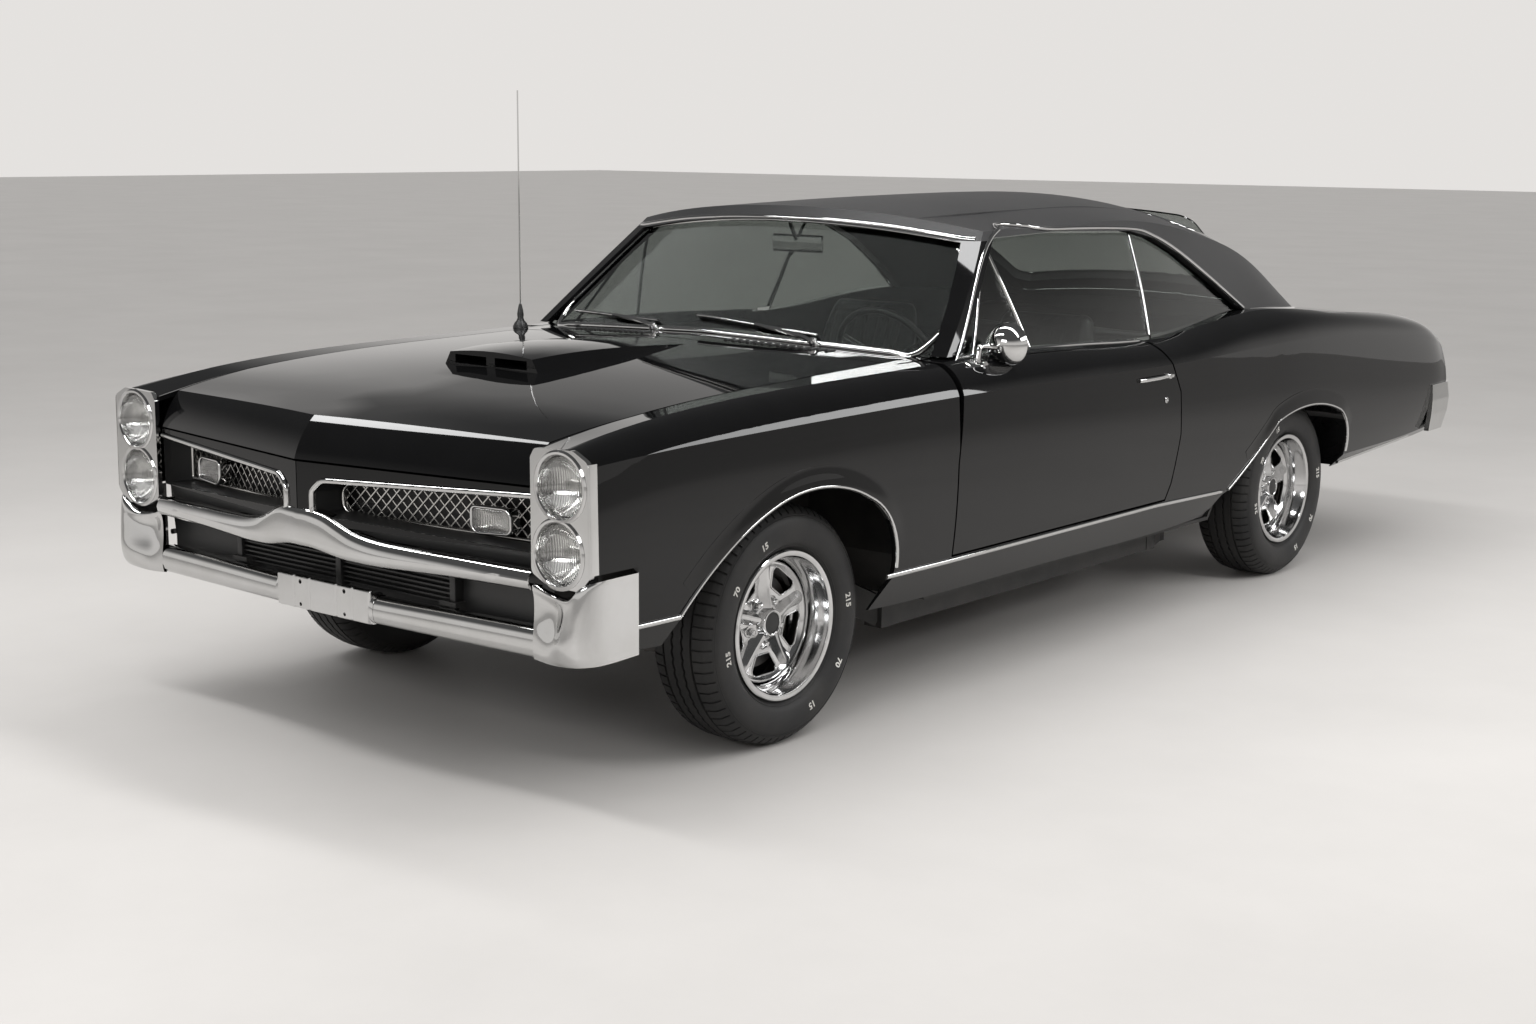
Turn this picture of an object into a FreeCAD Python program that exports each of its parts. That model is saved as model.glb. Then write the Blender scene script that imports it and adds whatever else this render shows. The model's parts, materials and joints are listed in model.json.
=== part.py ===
"""A two-door hardtop muscle car with stacked headlamps, as separate panels, glass, running gear and cabin.

Frame: millimetres, +Z up, the car faces -Y, +X is its left side (the driver's).
The origin is on the ground, under the middle of the car's length and width. Stations along the car are
drawn from a datum a little ahead of that, and put() moves each piece from the datum to the origin.
"""

import FreeCAD
import Part
import math
import os

Vec = FreeCAD.Vector

# ------------------------------------------------------------------ driving dimensions
DATUM_Y = -38.0            # the drawing datum, seen from the origin
WHEELBASE = 2921.0
FRONT_AXLE_Y = -1646.0
REAR_AXLE_Y = FRONT_AXLE_Y + WHEELBASE
TRACK_X = 748.0            # wheel centre from the car's centre line
TYRE_R = 325.0
TYRE_HALF_WIDTH = 112.0
TYRE_SIDES = 52            # flats round the tyre
AXLE_Z = TYRE_R
RIM_R = 208.0              # outside of the rim flange
RIM_HALF_WIDTH = 98.0      # over the flanges of a seven inch rim
BEAD_R = 190.0
DISC_X = 20.0              # spoke face, outboard of the wheel centre
HUB_BORE_R = 30.0
HUB_CLEARANCE = 1.0
LUG_COUNT = 5
LUG_CIRCLE_R = 60.3
STEER_X = 690.0            # the steering axis from the centre line
DRUM_R = 128.0
TYRE_CLEARANCE = 50.0      # wheelhouse over the rear tyre
GAP = 6.5                  # shut line round doors and lids
GLASS_RISE = 10.0          # door glass over the quarter panel
SKIN = 14.0                # fender and quarter thickness
SEAT = 0.5                 # clearance between glass or lamps and what holds them
DOOR_INNER_X = 785.0       # inner face of the doors and side walls
DOOR_SKIN_X = 932.0        # the doors' widest line, which is also where they are hinged
DOOR_FRONT_Y = -992.0
DOOR_REAR_BEVEL = 0.13     # the rear edge leans forward going in, so that it swings clear of the quarter
DOOR_BOTTOM_Z = 428.0
NOSE_Y = -2563.0           # hood tip on the centre line
NOSE_SWEEP = 9.0           # degrees that each half of the nose sweeps back
BUMPER_FRONT_Y = -2586.0
BUMPER_REAR_Y = 2662.0
TAIL_Y = 2600.0            # rear face of the body behind the trunk
FLOOR_Z = 265.0            # underside of the floor pan
FLOOR_T = 12.0
TRUNK_FLOOR_Z = 480.0
HOOD_T = 22.0
HOOD_REAR_Y = -1088.0
LID_T = 22.0
LID_FRONT_Y = 1760.0
ROOF_T = 40.0
GLASS_T = 6.0
PILLAR_TOP_Z = 1292.0
LENS_R = 72.0
LOFT_DEGREE = 3            # a low degree keeps the lofted skins from waving between sections
CREASE_RISE = 0.62         # each half deck's height midway to the centre crease; an even arc has 0.75
CROWN_BULGE = Vec(13, 0, 9)            # how far the fender's crown stands off a straight line
INNER_SKIRT = 10.0         # how far the inner skin reaches below the sill, which leaves the sheet open there
OUTSIDE_X = 1000.0         # clear of the body's sides, for solids that cut through them
OVER_DECK_Z = 1100.0       # clear of the hood and the deck

# Body sections from nose to tail: y, then x and z of the sill edge, the lower moulding line, the widest
# line, the shoulder crease, the crown of the fender or belt and the shut line, then z on the centre line.
SECTIONS = [
    (-2600.0, (868, 386), (905, 447), (930, 640), (915, 838), (848, 868), (745, 856), 880.0),
    (-2440.0, (872, 386), (912, 447), (936, 640), (925, 852), (852, 892), (750, 878), 905.0),
    (-2150.0, (868, 370), (918, 440), (938, 650), (931, 866), (852, 932), (762, 924), 942.0),
    (-1646.0, (856, 330), (921, 415), (940, 660), (933, 876), (850, 958), (760, 956), 985.0),
    (-1000.0, (852, 300), (920, 405), (939, 660), (932, 882), (846, 968), (735, 972), 1004.0),
    (-300.0, (852, 300), (918, 405), (937, 650), (929, 880), (838, 966), (730, 970), 1000.0),
    (290.0, (852, 298), (916, 405), (934, 650), (925, 874), (832, 950), (730, 954), 985.0),
    (800.0, (854, 320), (916, 402), (937, 660), (925, 884), (836, 992), (740, 994), 1006.0),
    (1275.0, (860, 350), (918, 412), (940, 670), (925, 890), (838, 990), (740, 984), 996.0),
    (1900.0, (868, 385), (912, 425), (935, 670), (913, 856), (838, 940), (735, 934), 950.0),
    (2400.0, (872, 412), (900, 440), (926, 650), (900, 806), (832, 878), (725, 874), 888.0),
    (2600.0, (868, 430), (884, 450), (908, 640), (884, 748), (820, 800), (715, 800), 812.0),
]


# ------------------------------------------------------------------ helpers
def box(x0, x1, y0, y1, z0, z1):
    return Part.makeBox(x1 - x0, y1 - y0, z1 - z0, Vec(x0, y0, z0))


def rod(start, end, radius):
    axis = Vec(*end) - Vec(*start)
    return Part.makeCylinder(radius, axis.Length, Vec(*start), axis)


def mirrored(shape):
    """The same piece on the car's other side."""
    return shape.mirror(Vec(0, 0, 0), Vec(1, 0, 0))


def pair(shape):
    return [shape, mirrored(shape)]


def polygon_face(points):
    return Part.Face(Part.makePolygon([*points, points[0]]))


def prism_x(outline, x0, x1):
    """A side-view outline, as (y, z) points, made solid from x0 to x1."""
    face = polygon_face([Vec(x0, y, z) for y, z in outline])
    return face.extrude(Vec(x1 - x0, 0, 0))


def prism_y(outline, y0, y1):
    """A front-view outline, as (x, z) points, made solid from y0 to y1."""
    face = polygon_face([Vec(x, y0, z) for x, z in outline])
    return face.extrude(Vec(0, y1 - y0, 0))


def prism_z(outline, z0, z1):
    """A plan outline, as (x, y) points, made solid from z0 to z1."""
    face = polygon_face([Vec(x, y, z0) for x, y in outline])
    return face.extrude(Vec(0, 0, z1 - z0))


def rounded(points, radius):
    """A closed wire through the points, each corner rounded by an arc of that radius (or its own)."""
    radii = radius if isinstance(radius, (list, tuple)) else [radius] * len(points)
    edges = []
    ends = []
    for i, corner in enumerate(points):
        before = (points[i - 1] - corner).normalize()
        after = (points[(i + 1) % len(points)] - corner).normalize()
        half = before.getAngle(after) / 2
        reach = radii[i] / math.tan(half)
        start = corner + before * reach
        end = corner + after * reach
        bisector = (before + after).normalize()
        middle = corner + bisector * (radii[i] / math.sin(half) - radii[i])
        ends.append((start, middle, end))
    for i, (start, middle, end) in enumerate(ends):
        previous_end = ends[i - 1][2]
        if (start - previous_end).Length > 1e-4:
            edges.append(Part.LineSegment(previous_end, start).toShape())
        edges.append(Part.Arc(start, middle, end).toShape())
    return Part.Wire(edges)


def lathe(profile, centre):
    """A profile of (radius, x offset) points turned about the X axis through the centre."""
    points = [Vec(offset, 0, radius) for radius, offset in profile]
    turned = polygon_face(points).revolve(Vec(0, 0, 0), Vec(1, 0, 0), 360)
    turned.translate(Vec(*centre))
    return turned


def swept_back(shape):
    """Turns a left half built straight across the nose to the sweep of the nose."""
    turned = shape.copy()
    turned.rotate(Vec(0, NOSE_Y, 0), Vec(0, 0, 1), NOSE_SWEEP)
    return turned


# ------------------------------------------------------------------ body envelope
def section_wire(row, inset=0.0, drop=0.0):
    """One closed body section. inset moves the sides in and drop moves the top down, for an inner skin."""
    y, sill, mould, wide, crease, crown, shut, centre_z = row
    down = INNER_SKIRT if inset else 0.0

    def side(point, lower=0.0):
        return Vec(point[0] - inset, y, point[1] - lower)

    low = side(sill, down)
    edge = side(mould)
    belly = side(wide)
    shoulder = side(crease, drop * 0.5)
    top = side(crown, drop)
    seam = Vec(shut[0] - inset, y, shut[1] - drop)
    centre = Vec(0, y, centre_z - drop)

    def flip(p):
        return Vec(-p.x, p.y, p.z)

    half_deck = Vec(seam.x / 2, y, seam.z + (centre.z - seam.z) * CREASE_RISE)
    crown_bulge = (shoulder + top) * 0.5 + CROWN_BULGE
    left = [
        Part.LineSegment(low, edge).toShape(),
        Part.Arc(edge, belly, shoulder).toShape(),
        Part.Arc(shoulder, crown_bulge, top).toShape(),
        Part.LineSegment(top, seam).toShape(),
    ]
    over = [
        Part.Arc(seam, half_deck, centre).toShape(),
        Part.Arc(centre, flip(half_deck), flip(seam)).toShape(),
    ]
    right = [
        Part.LineSegment(flip(seam), flip(top)).toShape(),
        Part.Arc(flip(top), flip(crown_bulge), flip(shoulder)).toShape(),
        Part.Arc(flip(shoulder), flip(belly), flip(edge)).toShape(),
        Part.LineSegment(flip(edge), flip(low)).toShape(),
    ]
    return Part.Wire(left + over + right + [Part.LineSegment(flip(low), low).toShape()])


def envelope(inset=0.0, drop=0.0):
    """The closed outer form of the lower body, or with an inset the form just inside its skin."""
    wires = [section_wire(row, inset, drop) for row in SECTIONS]
    return Part.makeLoft(wires, True, False, False, LOFT_DEGREE)


# ------------------------------------------------------------------ cab envelope
# Cab sections from the windshield header to the tail of the sail panels: y, then x and z where the side
# leaves the belt, x and z of the roof's edge, and z on the centre line.
CAB_SECTIONS = [
    (-1200.0, (846, 930), (690, 1280), 1352.0),
    (-520.0, (840, 930), (690, 1320), 1386.0),
    (0.0, (838, 930), (690, 1330), 1399.0),
    (450.0, (838, 930), (686, 1322), 1405.0),
    (900.0, (842, 930), (650, 1262), 1384.0),
    (1250.0, (846, 925), (610, 1192), 1292.0),
    (1560.0, (836, 905), (602, 1062), 1130.0),
    (1775.0, (812, 880), (600, 946), 962.0),
]

CAB_FOOT_DROP = 200.0      # how far the cab's form reaches below the belt, and how far out it is there
CAB_FOOT_FLARE = 60.0
CAB_SIDE_BULGE = Vec(14, 0, 8)

# Windshield edge at the base and at the header: x and y and z of the corner, then y and z in the middle.
SCREEN_BASE = (801.0, -909.0, 985.0, -1062.0)
SCREEN_TOP = (688.0, -520.0, 1322.0, -700.0)

# Backlight: half width, y and z at its top and at its foot.
BACKLIGHT_TOP = (545.0, 1040.0, 1352.0)
BACKLIGHT_FOOT = (560.0, 1600.0, 1004.0)
BACKLIGHT_CROWN = 46.0
BACKLIGHT_CORNER_R = 60.0
WINDSHIELD_SINK = 24.0     # from the roof's surface to the windshield
SIDE_GLASS_INSET = 16.0    # from the cab's side to the side glass

# Side window opening, as (y, z): up the windshield pillar, along the drip rail and down to the belt.
WINDOW_OPENING = [
    (-868.0, 940.0), (-862.0, 962.0), (-490.0, 1300.0), (-140.0, 1309.0), (313.0, 1297.0),
    (470.0, 1268.0), (629.0, 1208.0), (829.0, 1104.0), (1000.0, 1000.0), (1004.0, 940.0),
]
WINDOW_SPLIT_TOP = (340.0, 1340.0)     # the line where the door glass meets the quarter glass
WINDOW_SPLIT_FOOT = (262.0, 900.0)

# Door outline, as (y, z), from the lower front corner round to the lower rear corner.
DOOR_OUTLINE = [
    (DOOR_FRONT_Y, DOOR_BOTTOM_Z), (DOOR_FRONT_Y, 690.0), (-974.0, 815.0), (-956.0, 1010.0),
    (186.0, 1010.0), (211.0, 931.0), (242.0, 872.0), (290.0, 780.0), (298.0, 640.0), (262.0, 480.0),
    (236.0, DOOR_BOTTOM_Z),
]

# Wheel openings, as (y, z) from the axle. The middle points lie on three arcs over the wheel.
FRONT_ARCH = [(-560, -200), (-500, 118), (-330, 268), (-140, 356), (45, 374), (240, 318), (345, 225),
              (374, 110), (310, -200)]
REAR_ARCH = [(-700, -200), (-611, 60), (-440, 165), (-270, 282), (-60, 318), (236, 278), (322, 205),
             (346, 110), (330, -200)]


def cab_wire(row, inset=0.0):
    """One closed cab section, moved in by the inset all round."""
    y, belt, edge, centre_z = row
    foot = Vec(belt[0] + CAB_FOOT_FLARE - inset, y, belt[1] - CAB_FOOT_DROP)
    rail = Vec(edge[0] - inset, y, edge[1] - inset * 0.8)
    waist = (foot + rail) * 0.5 + CAB_SIDE_BULGE
    centre = Vec(0, y, centre_z - inset)

    def flip(p):
        return Vec(-p.x, p.y, p.z)

    return Part.Wire([
        Part.Arc(foot, waist, rail).toShape(),
        Part.Arc(rail, centre, flip(rail)).toShape(),
        Part.Arc(flip(rail), flip(waist), flip(foot)).toShape(),
        Part.LineSegment(flip(foot), foot).toShape(),
    ])


def cab(inset=0.0):
    wires = [cab_wire(row, inset) for row in CAB_SECTIONS]
    return Part.makeLoft(wires, True, False, False, LOFT_DEGREE)


def screen_front(back=0.0):
    """Everything ahead of the windshield's surface, moved back by a distance."""
    wires = []
    corner_slope = (SCREEN_TOP[1] - SCREEN_BASE[1]) / (SCREEN_TOP[2] - SCREEN_BASE[2])
    middle_slope = (SCREEN_TOP[3] - SCREEN_BASE[3]) / (SCREEN_TOP[2] - SCREEN_BASE[2])
    side_slope = (SCREEN_TOP[0] - SCREEN_BASE[0]) / (SCREEN_TOP[2] - SCREEN_BASE[2])
    for z in (700.0, 1500.0):
        rise = z - SCREEN_BASE[2]
        x = SCREEN_BASE[0] + side_slope * rise
        corner_y = SCREEN_BASE[1] + corner_slope * rise + back
        middle_y = SCREEN_BASE[3] + middle_slope * rise + back
        bow = corner_y - middle_y
        wide = 1.4
        left = Vec(x * wide, middle_y + bow * wide * wide, z)
        right = Vec(-left.x, left.y, z)
        front_left = Vec(left.x, -2400.0, z)
        front_right = Vec(-left.x, -2400.0, z)
        wires.append(Part.Wire([
            Part.Arc(left, Vec(0, middle_y, z), right).toShape(),
            Part.LineSegment(right, front_right).toShape(),
            Part.LineSegment(front_right, front_left).toShape(),
            Part.LineSegment(front_left, left).toShape(),
        ]))
    return Part.makeLoft(wires, True, True)


def backlight_block(margin=0.0, thickness=400.0, sink=0.0):
    """The backlight's outline made solid along its own normal, upwards from the glass."""
    top_x, top_y, top_z = BACKLIGHT_TOP
    foot_x, foot_y, foot_z = BACKLIGHT_FOOT
    along = Vec(0, foot_y - top_y, foot_z - top_z).normalize()
    normal = Vec(0, -along.z, along.y)
    top = Vec(0, top_y, top_z) - along * margin - normal * sink
    foot = Vec(0, foot_y, foot_z) + along * margin - normal * sink
    corners = [
        top + Vec(top_x + margin, 0, 0), foot + Vec(foot_x + margin, 0, 0),
        foot - Vec(foot_x + margin, 0, 0), top - Vec(top_x + margin, 0, 0),
    ]
    face = Part.Face(rounded(corners, BACKLIGHT_CORNER_R + margin))
    return face.extrude(normal * thickness)


def make_rear_glass():
    """The backlight: a pane curved across the car and straight down the slope."""
    half, top_y, top_z = BACKLIGHT_TOP
    foot_half, foot_y, foot_z = BACKLIGHT_FOOT
    half = foot_half + 20
    start_y = top_y - 40
    start_z = top_z + 40 * (top_z - foot_z) / (foot_y - top_y)

    def arc(drop):
        return (Vec(-half, start_y, start_z - BACKLIGHT_CROWN - drop), Vec(0, start_y, start_z - drop),
                Vec(half, start_y, start_z - BACKLIGHT_CROWN - drop))

    low = arc(GLASS_T * 1.2)
    high = arc(0.0)
    strip = Part.Face(Part.Wire([
        Part.Arc(*high).toShape(), Part.LineSegment(high[2], low[2]).toShape(),
        Part.Arc(low[2], low[1], low[0]).toShape(), Part.LineSegment(low[0], high[0]).toShape()]))
    pane = strip.extrude(Vec(0, (foot_y - top_y) + 80, -(top_z - foot_z) * (1 + 80 / (foot_y - top_y))))
    return pane.common(backlight_block(-SEAT, 700.0, 300.0))


def arch_block(points, axle_y, x0, x1):
    """A wheel opening made solid from x0 to x1: straight sides with three arcs over the wheel."""
    p = [Vec(x0, axle_y + dy, AXLE_Z + dz) for dy, dz in points]
    edges = [
        Part.LineSegment(p[0], p[1]).toShape(),
        Part.Arc(p[1], p[2], p[3]).toShape(),
        Part.Arc(p[3], p[4], p[5]).toShape(),
        Part.Arc(p[5], p[6], p[7]).toShape(),
        Part.LineSegment(p[7], p[8]).toShape(),
        Part.LineSegment(p[8], p[0]).toShape(),
    ]
    return Part.Face(Part.Wire(edges)).extrude(Vec(x1 - x0, 0, 0))


def outline_block(outline, grow, x0, x1):
    """A side-view outline grown by a margin, made solid from x0 to x1."""
    points = [Vec(x0, y, z) for y, z in outline]
    wire = Part.makePolygon([*points, points[0]])
    if grow:
        wire = wire.makeOffset2D(grow, 2)
    return Part.Face(wire).extrude(Vec(x1 - x0, 0, 0))


def bar(start, end, width, height):
    """A straight box section between two points, upright, with its width level."""
    a = Vec(*start)
    b = Vec(*end)
    along = (b - a).normalize()
    side = along.cross(Vec(0, 0, 1)).normalize() * (width / 2)
    up = side.cross(along).normalize() * (height / 2)
    corners = [a + side + up, a - side + up, a - side - up, a + side - up]
    return polygon_face(corners).extrude(b - a)


def fused(shapes):
    whole = shapes[0]
    for shape in shapes[1:]:
        whole = whole.fuse(shape)
    return whole.removeSplitter()


def put(name, *shapes):
    """Moves the piece from the drawing datum to the origin and writes it."""
    solids = []
    for shape in shapes:
        solids += shape.Solids
    whole = Part.makeCompound(solids) if len(solids) > 1 else solids[0].copy()
    whole.translate(Vec(0, DATUM_Y, 0))
    whole.exportStep(f"parts/{name}.step")
    print(name, len(solids), whole.isValid(), round(whole.Volume / 1e6, 2))


# ------------------------------------------------------------------ body panels
HOOD_EDGE = [(738, -2620), (740, -2400), (762, -2150), (760, -1646), (735, HOOD_REAR_Y)]
HOOD_BOW = 90.0            # how far the hood's rear edge bows forward in the middle
LID_EDGE_X = 722.0
FENDER_INNER_X = 700.0
FENDER_FRONT_Y = -2462.0
FENDER_BUMPER_Y = -2310.0  # where the fender's lower front edge stops, behind the bumper's corner
PANEL_FOOT_Z = 290.0
QUARTER_FRONT_Y = 150.0
LID_REAR_Y = 2560.0
HOOD_LIP_Z = 790.0
SCOOP_FRONT_Y = -1905.0
# Hood scoop sections from the mouths back to where it sinks into the hood: y, half width, top z.
SCOOP_SECTIONS = [(SCOOP_FRONT_Y, 190.0, 1010.0), (-1725.0, 198.0, 1020.0), (-1480.0, 186.0, 1016.0),
                  (-1200.0, 150.0, 1002.0)]
SCOOP_FOOT_Z = 955.0
SCOOP_LEAN = 0.86          # width of the scoop's top over the width of its foot
SCOOP_CROWN = 10.0
SCOOP_DIVIDER = 34.0       # between the two mouths
MOUTH_WIDTH = 126.0
MOUTH_Z0 = 969.0
MOUTH_Z1 = 994.0


def nose_front(back=0.0):
    """Everything ahead of the nose, which rolls under in side view and sweeps back from the middle."""
    y = NOSE_Y + back
    edge = [
        Part.LineSegment(Vec(-60, y - 14, 300), Vec(-60, y - 14, HOOD_LIP_Z)).toShape(),
        Part.Arc(Vec(-60, y - 14, HOOD_LIP_Z), Vec(-60, y + 22, 862), Vec(-60, y + 190, 950)).toShape(),
        Part.LineSegment(Vec(-60, y + 190, 950), Vec(-60, y + 190, 1200)).toShape(),
        Part.LineSegment(Vec(-60, y + 190, 1200), Vec(-60, -3200, 1200)).toShape(),
        Part.LineSegment(Vec(-60, -3200, 1200), Vec(-60, -3200, 300)).toShape(),
        Part.LineSegment(Vec(-60, -3200, 300), Vec(-60, y - 14, 300)).toShape(),
    ]
    left = Part.Face(Part.Wire(edge)).extrude(Vec(1300, 0, 0))
    left = swept_back(left).common(box(0, 1300, -4000, 0, 0, 1500))
    return left.fuse(mirrored(left))


def hood_plan(grow):
    """The hood's outline in plan, grown by a margin, from the ground up."""
    rear = HOOD_REAR_Y + grow * 1.5
    left = [(x + grow, y) for x, y in HOOD_EDGE[:-1]] + [(HOOD_EDGE[-1][0] + grow, rear)]
    rear_middle = Vec(0, rear - HOOD_BOW, 0)
    p = [Vec(x, y, 0) for x, y in left]
    q = [Vec(-x, y, 0) for x, y in left]
    edges = [Part.LineSegment(a, b).toShape() for a, b in zip(p, p[1:])]
    edges.append(Part.Arc(p[-1], rear_middle, q[-1]).toShape())
    edges += [Part.LineSegment(a, b).toShape() for a, b in zip(q[::-1], q[::-1][1:])]
    edges.append(Part.LineSegment(q[0], p[0]).toShape())
    return Part.Face(Part.Wire(edges)).extrude(Vec(0, 0, 1300))


def lowered(shape, drop):
    moved = shape.copy()
    moved.translate(Vec(0, 0, -drop))
    return moved


def make_hood(outer):
    block = outer.common(hood_plan(-GAP / 2)).common(box(-900, 900, -2700, 0, HOOD_LIP_Z, 1200))
    block = block.cut(nose_front())
    under = lowered(outer, HOOD_T).cut(nose_front(HOOD_T * 1.6))
    hood = block.cut(under)
    scoop = make_scoop().cut(lowered(outer, HOOD_T - 4))
    mouth = box(SCOOP_DIVIDER / 2, SCOOP_DIVIDER / 2 + MOUTH_WIDTH, SCOOP_FRONT_Y - 20,
                SCOOP_FRONT_Y + 110, MOUTH_Z0, MOUTH_Z1)
    return hood.fuse(scoop).removeSplitter().cut(mouth).cut(mirrored(mouth))


def make_scoop():
    """The raised scoop: a gently crowned top with leaning sides, sinking into the hood behind."""
    wires = []
    for y, half, top in SCOOP_SECTIONS:
        foot = Vec(half, y, SCOOP_FOOT_Z)
        edge = Vec(half * SCOOP_LEAN, y, top - SCOOP_CROWN)
        foot_right = Vec(-foot.x, y, foot.z)
        edge_right = Vec(-edge.x, y, edge.z)
        wires.append(Part.Wire([
            Part.LineSegment(foot, edge).toShape(),
            Part.Arc(edge, Vec(0, y, top), edge_right).toShape(),
            Part.LineSegment(edge_right, foot_right).toShape(),
            Part.LineSegment(foot_right, foot).toShape(),
        ]))
    return Part.makeLoft(wires, True, False, False, LOFT_DEGREE)


def lid_plan(grow):
    y0 = LID_FRONT_Y - grow
    y1 = LID_REAR_Y + grow
    x = LID_EDGE_X + grow
    corners = [Vec(x, y0, 0), Vec(x, y1, 0), Vec(-x, y1, 0), Vec(-x, y0, 0)]
    return Part.Face(rounded(corners, 30.0)).extrude(Vec(0, 0, 1300))


def make_trunk_lid(outer):
    panel = outer.common(lid_plan(-GAP / 2)).cut(lowered(outer, LID_T))
    return panel.common(box(-900, 900, 0, 2700, 650, 1200))


def make_fender(shell):
    side = box(FENDER_INNER_X, OUTSIDE_X, FENDER_FRONT_Y, DOOR_FRONT_Y, PANEL_FOOT_Z, OVER_DECK_Z)
    fender = shell.common(side).cut(hood_plan(GAP / 2))
    fender = fender.cut(outline_block(DOOR_OUTLINE, GAP, FENDER_INNER_X, OUTSIDE_X))
    fender = fender.cut(arch_block(FRONT_ARCH, FRONT_AXLE_Y, 500, OUTSIDE_X))
    fender = fender.cut(box(0, DOOR_INNER_X, HOOD_REAR_Y + GAP, 0, 900, OVER_DECK_Z))
    fender = fender.cut(box(0, HOOD_EDGE[-1][0] + GAP, HOOD_REAR_Y - 22, 0, 900, OVER_DECK_Z))
    bumper_room = box(FENDER_INNER_X, OUTSIDE_X, -2500, FENDER_BUMPER_Y, PANEL_FOOT_Z, 600)
    return fender.cut(bumper_room)


def make_quarter(outer, inner, shell, rear_bumper):
    region = box(LID_EDGE_X - 40, OUTSIDE_X, QUARTER_FRONT_Y, TAIL_Y, PANEL_FOOT_Z, OVER_DECK_Z)
    slab = outer.common(box(DOOR_INNER_X, OUTSIDE_X, QUARTER_FRONT_Y, TAIL_Y, PANEL_FOOT_Z, OVER_DECK_Z))
    deck = shell.common(box(LID_EDGE_X - 40, DOOR_INNER_X, 1020, TAIL_Y, 700, OVER_DECK_Z))
    quarter = slab.fuse(deck).common(region)
    quarter = quarter.cut(outline_block(DOOR_OUTLINE, GAP, 600, OUTSIDE_X)).cut(lid_plan(GAP / 2))
    quarter = quarter.cut(box(0, OUTSIDE_X, QUARTER_FRONT_Y, 700, 0, DOOR_BOTTOM_Z - GAP))
    quarter = quarter.cut(rear_bumper)
    tyre_room = rod((500, REAR_AXLE_Y, AXLE_Z), (OUTSIDE_X, REAR_AXLE_Y, AXLE_Z), TYRE_R + TYRE_CLEARANCE)
    quarter = quarter.cut(tyre_room.common(inner))
    return quarter.cut(arch_block(REAR_ARCH, REAR_AXLE_Y, 500, OUTSIDE_X))


def make_rocker(outer):
    sill = outer.common(box(DOOR_INNER_X, OUTSIDE_X, -1320, 700, 280, DOOR_BOTTOM_Z - GAP))
    sill = sill.cut(arch_block(FRONT_ARCH, FRONT_AXLE_Y, 500, OUTSIDE_X))
    sill = sill.cut(box(0, OUTSIDE_X, -1400, DOOR_FRONT_Y, 0, 1000))
    return sill.cut(arch_block(REAR_ARCH, REAR_AXLE_Y, 500, OUTSIDE_X))


def door_block():
    """The door's outline made solid, its rear edge bevelled inwards."""
    straight = outline_block(DOOR_OUTLINE, 0, DOOR_INNER_X, OUTSIDE_X)
    inner_shift = (DOOR_SKIN_X - DOOR_INNER_X) * DOOR_REAR_BEVEL
    points = [Vec(DOOR_INNER_X, y - inner_shift - (200 if y < 0 else 0), z) for y, z in DOOR_OUTLINE]
    width = OUTSIDE_X - DOOR_INNER_X
    leaning = polygon_face(points).extrude(Vec(width, width * DOOR_REAR_BEVEL, 0))
    return straight.common(leaning)


def make_door(outer, glass):
    slab = outer.common(door_block())
    pull = box(DOOR_INNER_X - 40, DOOR_INNER_X, -700, -80, 640, 700)
    return slab.fuse(pull).removeSplitter().cut(glass)


def window_block(shrink, front, rear):
    """Side window opening shrunk by a margin, between a front and a rear limit line."""
    block = outline_block(WINDOW_OPENING, -shrink if shrink else 0, 500, 1000)
    if front is not None:
        block = block.cut(split_block(front, -1))
    if rear is not None:
        block = block.cut(split_block(rear, 1))
    return block


def split_block(offset, side):
    """Everything on one side of the line where the door glass meets the quarter glass."""
    top = (WINDOW_SPLIT_TOP[0] + offset, WINDOW_SPLIT_TOP[1])
    foot = (WINDOW_SPLIT_FOOT[0] + offset, WINDOW_SPLIT_FOOT[1])
    far = side * 3000.0
    return prism_x([top, foot, (foot[0] + far, foot[1]), (top[0] + far, top[1])], 400, 1100)


# ------------------------------------------------------------------ cab
def make_roof_shell(outer):
    shell = cab().cut(cab(ROOF_T))
    shell = shell.common(box(-1000, 1000, -1300, LID_FRONT_Y - GAP, 900, 1500)).cut(screen_front())
    opening = outline_block(WINDOW_OPENING, 0, 400, 1100)
    shell = shell.cut(opening).cut(mirrored(opening))
    shell = shell.cut(backlight_block(0.0, 700.0, 300.0))
    return shell.cut(outer)


# ------------------------------------------------------------------ nose
NOSE_PANEL_TOP_Z = HOOD_LIP_Z - GAP
BEZEL_X0 = 747.0
BEZEL_X1 = 947.0
BEZEL_FRONT_Y = -2476.0
BEZEL_T = 14.0
LAMPS = [(845.0, 801.0), (837.0, 642.0)]      # x and z of the upper and the lower headlamp
GRILLE_DEPTH = 72.0        # how far the mesh sits behind the nose panel
MESH_PITCH = 34.0
MESH_WIRE = 3.0
PARKING_LAMP = (578.0, 680.0, 116.0, 62.0)    # x, z, width and height in the swept half


def front_outline(points, y0, y1, radius):
    """A front-view outline with rounded corners, as (x, z) points, made solid from y0 to y1."""
    wire = rounded([Vec(x, y0, z) for x, z in points], radius)
    return Part.Face(wire).extrude(Vec(0, y1 - y0, 0))


GRILLE_OPENING = [(50.0, 652.0), (BEZEL_X0 + 12, 628.0), (BEZEL_X0 + 12, 768.0), (84.0, 742.0),
                  (50.0, 712.0)]


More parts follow.
